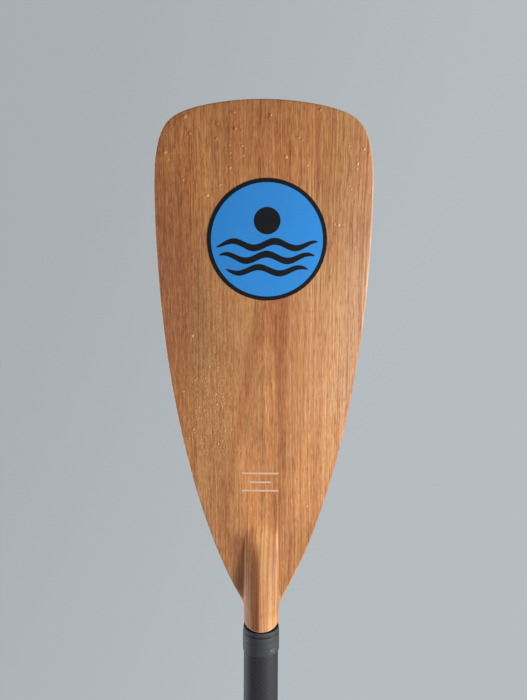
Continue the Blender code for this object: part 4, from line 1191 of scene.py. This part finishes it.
def grip_half(z, inset):
    low = (GRIP_MID_Z - z) / (GRIP_MID_Z - inset)
    wide, deep = GRIP_HALF_W - inset, GRIP_HALF_D - inset
    if z < GRIP_MID_Z:
        return (wide * max(1 - low ** 2.6, 0) ** (1 / 2.6), deep * max(1 - low ** 2.0, 0) ** 0.5, 2.4)
    t = min((z - GRIP_MID_Z) / (GRIP_NECK_Z - GRIP_MID_Z), 1.0)
    fall = (0.5 + 0.5 * math.cos(math.pi * t)) ** 1.25
    return (GRIP_NECK_R + (wide - GRIP_NECK_R) * fall,
            GRIP_NECK_R + (deep - GRIP_NECK_R) * (1 - smooth_step(t)), 2.0 + 0.4 * (1 - t))


def grip_ring(a, b, p, z, n):
    out = []
    for k in range(n):
        c, s = math.cos(2 * math.pi * k / n), math.sin(2 * math.pi * k / n)
        out.append((a * math.copysign(abs(c) ** (2 / p), c), b * math.copysign(abs(s) ** (2 / p), s), z))
    return out


def dome_rows(inset, rows, n):
    out = []
    for k in range(rows):
        z = GRIP_MID_Z - (GRIP_MID_Z - inset) * math.cos(0.5 * math.pi * k / rows)
        out.append(grip_ring(*grip_half(z, inset), z, n))
    return out


def ribbed(p):
    """Palm ribs: shallow grooves across the pad's crown."""
    x, y, z = p
    t = abs(x) / 5.2
    off = abs(t - round(t))
    cut = 0.42 * max(1 - (off / 0.20) ** 2, 0.0) * smooth_step((13.5 - z) / 3.0)
    if not 0.5 < round(t) < 9.5 or cut <= 0:
        return p
    c = Vector((x * 0.75, 0.0, GRIP_MID_Z))
    d = Vector(p) - c
    q = c + d * (1 - cut / d.length)
    return q.x, q.y, q.z


def pad_object():
    n = 480
    outer = dome_rows(0.0, 30, n) + [grip_ring(*grip_half(GRIP_MID_Z, 0.0), GRIP_MID_Z, n),
                                     grip_ring(*grip_half(PAD_Z, 0.0), PAD_Z - 0.35, n)]
    wide, deep, sq = grip_half(PAD_Z, 0.0)
    outer.append(grip_ring(wide - 0.35, deep - 0.35, sq, PAD_Z, n))
    wide, deep, sq = grip_half(GRIP_MID_Z, PAD_THICK)
    inner = dome_rows(PAD_THICK, 10, n) + [grip_ring(wide, deep, sq, GRIP_MID_Z, n), grip_ring(wide, deep, sq, PAD_Z, n)]
    outer = [[ribbed(p) for p in ring] for ring in outer]
    return skin("palm_pad", outer + inner[::-1], sharp=40)


def core_grip_object():
    n = 128
    inset = PAD_THICK + GAP
    wide, deep, sq = grip_half(GRIP_MID_Z, inset)
    rows = dome_rows(inset, 12, n) + [grip_ring(wide, deep, sq, GRIP_MID_Z, n), grip_ring(wide, deep, sq, PAD_Z + GAP, n)]
    wide, deep, sq = grip_half(PAD_Z + GAP, 0.0)
    rows += [grip_ring(wide - 0.45, deep - 0.45, sq, PAD_Z + GAP, n), grip_ring(wide - 0.12, deep - 0.12, sq, PAD_Z + GAP + 0.12, n),
             grip_ring(wide, deep, sq, PAD_Z + GAP + 0.45, n)]
    for k in range(1, 43):
        z = PAD_Z + GAP + 0.45 + (GRIP_NECK_Z - PAD_Z - GAP - 0.45) * k / 42
        rows.append(grip_ring(*grip_half(z, 0.0), z, n))
    for r, z in ((13.8, 59.9), (13.75, 60.3), (13.55, 60.58), (13.2, 60.7), (10.9, 60.7), (10.9, 105.0), (9.9, 106.0)):
        rows.append(grip_ring(r, r, 2.0, z, n))
    return skin("grip_body", rows, cap_last=True, sharp=40)


place_piece(core_grip_object(), GRIP_MAT, "handle_section", ["grip_core"])
place_piece(pad_object(), PAD_MAT, "handle_section", ["grip_pad"])
head = [(0.0, 5.6), (1.2, 5.6), (1.6, 6.2), (1.6, 12.9), (3.0, 13.0), (3.12, 13.12), (3.1, 13.3), (2.8, 13.7),
        (2.3, 14.0), (1.7, 14.22), (1.0, 14.36), (0.0, 14.4)]
for side, sign in (("front", -1), ("back", 1)):
    place_piece(turned(lathe("rivet_%s" % side, head, False, 48, 40), (0, sign, 0), (0, 0, 86.0)),
                RIVET_MAT, "handle_section", ["grip_rivet_%s" % side])

# ------------------------------------------------------------------ printed disc and bars on the face
DISC_X, DISC_S, DISC_R = 2.8, 312.3, 47.45


def film(name, outline, lift, thick=0.10):
    """Thin closed film on the face. outline is a list of rows of (x, s) between two long edges."""
    bm = bmesh.new()
    grid = []
    for row in outline:
        up = [bm.verts.new(on_face(x, s, lift + thick) * MM) for x, s in row]
        down = [bm.verts.new(on_face(x, s, lift) * MM) for x, s in row]
        grid.append((up, down))
    n = len(grid[0][0])
    for (u0, d0), (u1, d1) in zip(grid, grid[1:]):
        for i in range(n - 1):
            bm.faces.new((u0[i], u0[i + 1], u1[i + 1], u1[i]))
            bm.faces.new((d0[i], d1[i], d1[i + 1], d0[i + 1]))
        bm.faces.new((u0[0], u1[0], d1[0], d0[0]))
        bm.faces.new((u0[-1], d0[-1], d1[-1], u1[-1]))
    for up, down in (grid[0], grid[-1]):
        for i in range(n - 1):
            bm.faces.new((up[i], down[i], down[i + 1], up[i + 1]))
    bmesh.ops.remove_doubles(bm, verts=bm.verts, dist=1e-7)
    bmesh.ops.recalc_face_normals(bm, faces=bm.faces)
    return to_object(name, bm, 30)


def round_film(name, r_in, r_out, cx, cs, lift, seg=144, rings=3, thick=0.10):
    """Flat ring or disc of film round (cx, cs)."""
    bm = bmesh.new()
    radii = [r_in + (r_out - r_in) * k / rings for k in range(rings + 1)]
    top_rows, low_rows = [], []
    for r in radii:
        if r < 1e-6:
            top_rows.append([bm.verts.new(on_face(cx, cs, lift + thick) * MM)])
            low_rows.append([bm.verts.new(on_face(cx, cs, lift) * MM)])
            continue
        ring = [(cx + r * math.cos(2 * math.pi * k / seg), cs + r * math.sin(2 * math.pi * k / seg))
                for k in range(seg)]
        top_rows.append([bm.verts.new(on_face(x, s, lift + thick) * MM) for x, s in ring])
        low_rows.append([bm.verts.new(on_face(x, s, lift) * MM) for x, s in ring])
    for rows in (top_rows, low_rows):
        for a, b in zip(rows, rows[1:]):
            for i in range(seg):
                j = (i + 1) % seg
                corners = [a[i % len(a)], b[i], b[j]] + ([a[j]] if len(a) > 1 else [])
                bm.faces.new(corners)
    for k in ([0, -1] if len(top_rows[0]) > 1 else [-1]):
        for i in range(seg):
            j = (i + 1) % seg
            bm.faces.new((top_rows[k][i], low_rows[k][i], low_rows[k][j], top_rows[k][j]))
    bmesh.ops.recalc_face_normals(bm, faces=bm.faces)
    return to_object(name, bm, 30)


def printed(name, color, rough=0.4, fade=0.12, coat=0.5):
    """Printed film under the same clear coat: slightly uneven ink."""
    g = Graph(name)
    p = g.object_coords()
    cloud = g.noise(p, 42.0, 3.0)
    fine = g.noise(p, 1500.0, 1.0)
    low = tuple(c * (1 - fade) for c in color)
    high = tuple(min(c * (1 + fade), 1.0) for c in color)
    g.set(Base_Color=g.mix(g.add(g.mul(cloud, 0.8), g.mul(fine, 0.2)), low, high), Roughness=rough,
          Specular_IOR_Level=0.20, Coat_Weight=coat, Coat_Roughness=0.42, Coat_IOR=1.45)
    g.bump(fine, 0.12, 0.00003)
    return g.mat


BLUE = printed("print_blue", (0.026, 0.238, 0.640))
BLACK = printed("print_black", (0.0035, 0.0040, 0.0055), 0.45, 0.2, 0.22)
PALE = printed("print_pale", (0.66, 0.43, 0.30), 0.5, 0.08)

place_piece(round_film("emblem_disc", 0.0, DISC_R - 2.0, DISC_X, DISC_S, 0.02, rings=12), BLUE,
            "blade_section")
place_piece(round_film("emblem_rim", DISC_R - 3.2, DISC_R, DISC_X, DISC_S, 0.06, rings=3, thick=0.12), BLACK,
            "blade_section")
place_piece(round_film("emblem_sun", 0.0, 10.5, DISC_X, DISC_S + 15.0, 0.08, seg=72, rings=4, thick=0.10), BLACK,
            "blade_section")


def wave(name, level, swing, thick, phase):
    """One swell across the disc: a line that rises and falls, thickest in the middle."""
    room = DISC_R - 7.0
    half = math.sqrt(room * room - level * level)
    rows = []
    count = 72
    for k in range(count + 1):
        t = -1 + 2 * k / count
        x = half * t
        mid = level + swing * math.sin(2 * math.pi * x / 33.0 + phase)
        w = thick * max(1 - abs(t) ** 3.0, 0.0) ** 0.6 * 0.5 + 0.02
        rows.append([(DISC_X + x, DISC_S + mid + w * (2 * j / 4 - 1)) for j in range(5)])
    return film(name, rows, 0.08)


for i, (level, swing, thick, phase) in enumerate(((-3.5, 2.6, 5.4, 0.4), (-13.5, 2.6, 5.4, 1.6),
                                                  (-23.5, 2.4, 5.0, 2.8))):
    place_piece(wave("emblem_wave_%d" % (i + 1), level, swing, thick, phase), BLACK, "blade_section")

for i, (s, a, b) in enumerate(((120.5, -17.0, 14.0), (112.8, -10.5, 7.5), (105.4, -17.0, 14.0))):
    rows = [[(x, s - 0.75), (x, s), (x, s + 0.75)] for x in [a + (b - a) * k / 16 for k in range(17)]]
    place_piece(film("pale_bar_%d" % (i + 1), rows, 0.015, 0.05), PALE, "blade_section")

# ------------------------------------------------------------------ water beads on the face
BEADS = [
    (5.2, 406.3, 0.8), (4.0, 403.9, 0.6), (17.0, 375.8, 1.4), (26.7, 390.2, 0.7), (29.7, 388.5, 0.6),
    (33.5, 369.7, 0.9), (43.0, 410.6, 1.0), (66.0, 384.7, 0.7), (77.6, 382.5, 1.2), (81.6, 379.0, 0.6),
    (72.9, 371.5, 1.1), (72.4, 367.6, 0.7), (73.5, 357.2, 0.6), (68.5, 352.2, 0.7), (2.6, 370.9, 0.6),
    (-60.8, 405.3, 1.6), (-57.0, 392.8, 1.0), (-59.4, 390.6, 0.6), (-22.9, 408.2, 0.8), (-21.8, 396.3, 1.0),
    (-16.9, 394.9, 0.6), (-36.4, 389.0, 0.9), (-26.7, 384.2, 0.8), (-16.8, 383.7, 0.9), (-26.1, 378.5, 0.7),
    (-25.8, 374.8, 0.6), (-16.3, 376.4, 0.8), (-76.7, 379.0, 1.3), (-74.6, 373.7, 0.8), (-71.7, 378.5, 0.6),
    (-69.8, 370.7, 0.6), (-66.0, 367.4, 0.6), (-62.9, 358.3, 0.9), (-26.2, 367.4, 1.1), (-34.1, 354.5, 1.0),
    (-44.2, 346.5, 1.3), (-47.8, 365.2, 0.6), (-57.3, 236.0, 1.4), (-48.7, 223.8, 0.6), (-43.7, 210.8, 0.8),
    (-49.0, 204.1, 0.6), (-55.4, 199.5, 0.9), (-65.5, 189.5, 1.2), (-38.8, 187.9, 1.2), (-46.3, 190.9, 0.7),
    (-34.5, 203.2, 0.6), (-37.9, 179.3, 1.1), (-48.4, 174.3, 0.9), (-47.2, 169.6, 0.7), (-57.3, 157.5, 1.0),
    (-54.0, 152.6, 0.7), (-35.7, 156.9, 0.8), (-25.8, 158.2, 0.9), (-36.7, 145.9, 0.9), (-33.3, 148.7, 0.8),
    (-32.7, 186.0, 0.7), (63.0, 199.4, 0.7), (65.7, 228.2, 0.7), (38.1, 90.9, 0.9), (-61.3, 149.5, 0.7),
    (59.2, 324.7, 1.2), (55.9, 325.3, 0.8), (62.9, 325.0, 0.6)]


def bead_field():
    """Every bead, with a fine seeded mist between the large ones."""
    rng = random.Random(41)
    beads = list(BEADS)
    zones = ((-66.0, -22.0, 124.0, 236.0, 430, 1.3), (-76.0, -8.0, 346.0, 406.0, 46, 1.0),
             (60.0, 82.0, 352.0, 390.0, 16, 1.0))
    for x0, x1, s0, s1, count, size in zones:
        for _ in range(count):
            x = rng.uniform(x0, x1)
            s = rng.uniform(s0, s1)
            r = rng.uniform(0.24, 0.44) * size
            # the damp thins out towards the edges of its patch
            across, along = (2 * x - x0 - x1) / (x1 - x0), (2 * s - s0 - s1) / (s1 - s0)
            if size > 1.0 and rng.random() > (1 - across * across) * (1 - along * along):
                continue
            if half_width(s) - abs(x) < 5.0 or math.hypot(x - DISC_X, s - DISC_S) < DISC_R + 1.5:
                continue
            if all(math.hypot(x - bx, (s - bs) / 1.45) > r + br + 0.25 for bx, bs, br in beads):
                beads.append((x, s, r))
    return beads


def bead_object():
    """Low domes of water that sag a little towards the shaft, the finest of them drawn out along the
    blade, closed below the surface."""
    bm = bmesh.new()
    grain = bm.loops.layers.uv.new("grain")
    deep = bm.loops.layers.uv.new("depth")
    for x, s, r in bead_field():
        seg = 16 if r > 0.5 else 10
        rows = 5 if r > 0.5 else 3
        tall = (0.36 if r > 0.6 else 0.30) * r
        run = 1.45 if r < 0.6 else 1.0
        rings = [[(x + r * 0.96 * math.cos(2 * math.pi * k / seg),
                   s + r * 0.96 * run * math.sin(2 * math.pi * k / seg), -0.06) for k in range(seg)]]
        for j in range(rows):
            t = j / rows
            a = math.radians(42.0) * (1 - t)
            q = math.sin(a) / math.sin(math.radians(42.0))
            up = tall * (math.cos(a) - math.cos(math.radians(42.0))) / (1 - math.cos(math.radians(42.0)))
            rings.append([(x + r * q * math.cos(2 * math.pi * k / seg),
                           s + r * q * math.sin(2 * math.pi * k / seg) * run
                           * (1.16 if math.sin(2 * math.pi * k / seg) < 0 else 1.0),
                           up) for k in range(seg)])
        verts = [[bm.verts.new(on_face(*p) * MM) for p in ring] for ring in rings]
        peak = bm.verts.new(on_face(x, s, tall) * MM)
        spots = {}
        for ring, vs in zip(rings, verts):
            for p, vert in zip(ring, vs):
                spots[vert] = p
        spots[peak] = (x, s, tall)
        faces = [bm.faces.new(list(reversed(verts[0])))]
        for a, b in zip(verts, verts[1:]):
            for k in range(seg):
                faces.append(bm.faces.new((a[k], a[(k + 1) % seg], b[(k + 1) % seg], b[k])))
        for k in range(seg):
            faces.append(bm.faces.new((verts[-1][k], verts[-1][(k + 1) % seg], peak)))
        for f in faces:
            for loop in f.loops:
                p = spots[loop.vert]
                loop[grain].uv = (p[0] * MM, p[1] * MM)
                loop[deep].uv = (face_height(p[0], p[1]) * MM, 0.0)
    bmesh.ops.recalc_face_normals(bm, faces=bm.faces)
    return to_object("water_beads", bm, 60)


place_piece(bead_object(), wood_material("wet_veneer", wet=True), "blade_section")

# ------------------------------------------------------------------ materials of the carried-over nodes
nodes = frame["nodes"]
for name, mat in (("lower_foam_plug", FOAM_MAT), ("guide_liner", PLUG_MAT), ("clamp_bolt", STEEL),
                  ("cam_plate", BRASS), ("end_bush", BUSH_MAT), ("upper_foam_plug", FOAM_MAT)):
    node = nodes[name]
    if not node.material_slots:
        node.data.materials.append(mat)
    for s in node.material_slots:
        s.material = mat

# ------------------------------------------------------------------ floor and backdrop
bm = bmesh.new()
bmesh.ops.create_grid(bm, x_segments=8, y_segments=8, size=1.6)
floor = to_object("floor", bm)
floor.location = (0, 0, -0.0006)
g = Graph("pale_floor")
px, py, pz = g.split(g.object_coords())
out = g.math('SQRT', g.add(g.mul(px, px), g.mul(py, py)))
g.set(Base_Color=g.mix(g.noise(g.object_coords(), 3.0, 2.0), (0.235, 0.24, 0.245), (0.265, 0.27, 0.275)),
      Roughness=0.85, Emission_Color=(0.32, 0.34, 0.355), Emission_Strength=1.0)
g.put(g.shader.inputs["Alpha"], g.smooth(out, 1.5, 0.75))
paint(floor, g.mat)

bm = bmesh.new()
bmesh.ops.create_icosphere(bm, subdivisions=4, radius=9.0)
shell = to_object("backdrop", bm)
shell.location = (0, 0, 1.2)
g = Graph("backdrop_wall")
px, py, pz = g.split(g.object_coords())
glow = g.tree.nodes.new('ShaderNodeEmission')
# the backdrop glows and is seen only by the camera; painted darker to the left and lighter to the right
side = g.smooth(g.add(px, g.mul(pz, -0.35)), -5.5, 3.0)
g.link(g.mix(side, (0.395, 0.425, 0.445), (0.468, 0.507, 0.532)), glow.inputs["Color"])
g.link(glow.outputs[0], g.tree.nodes["Material Output"].inputs["Surface"])
paint(shell, g.mat)
shell.visible_diffuse = False
shell.visible_glossy = False
shell.visible_transmission = False
shell.visible_volume_scatter = False
shell.visible_shadow = False
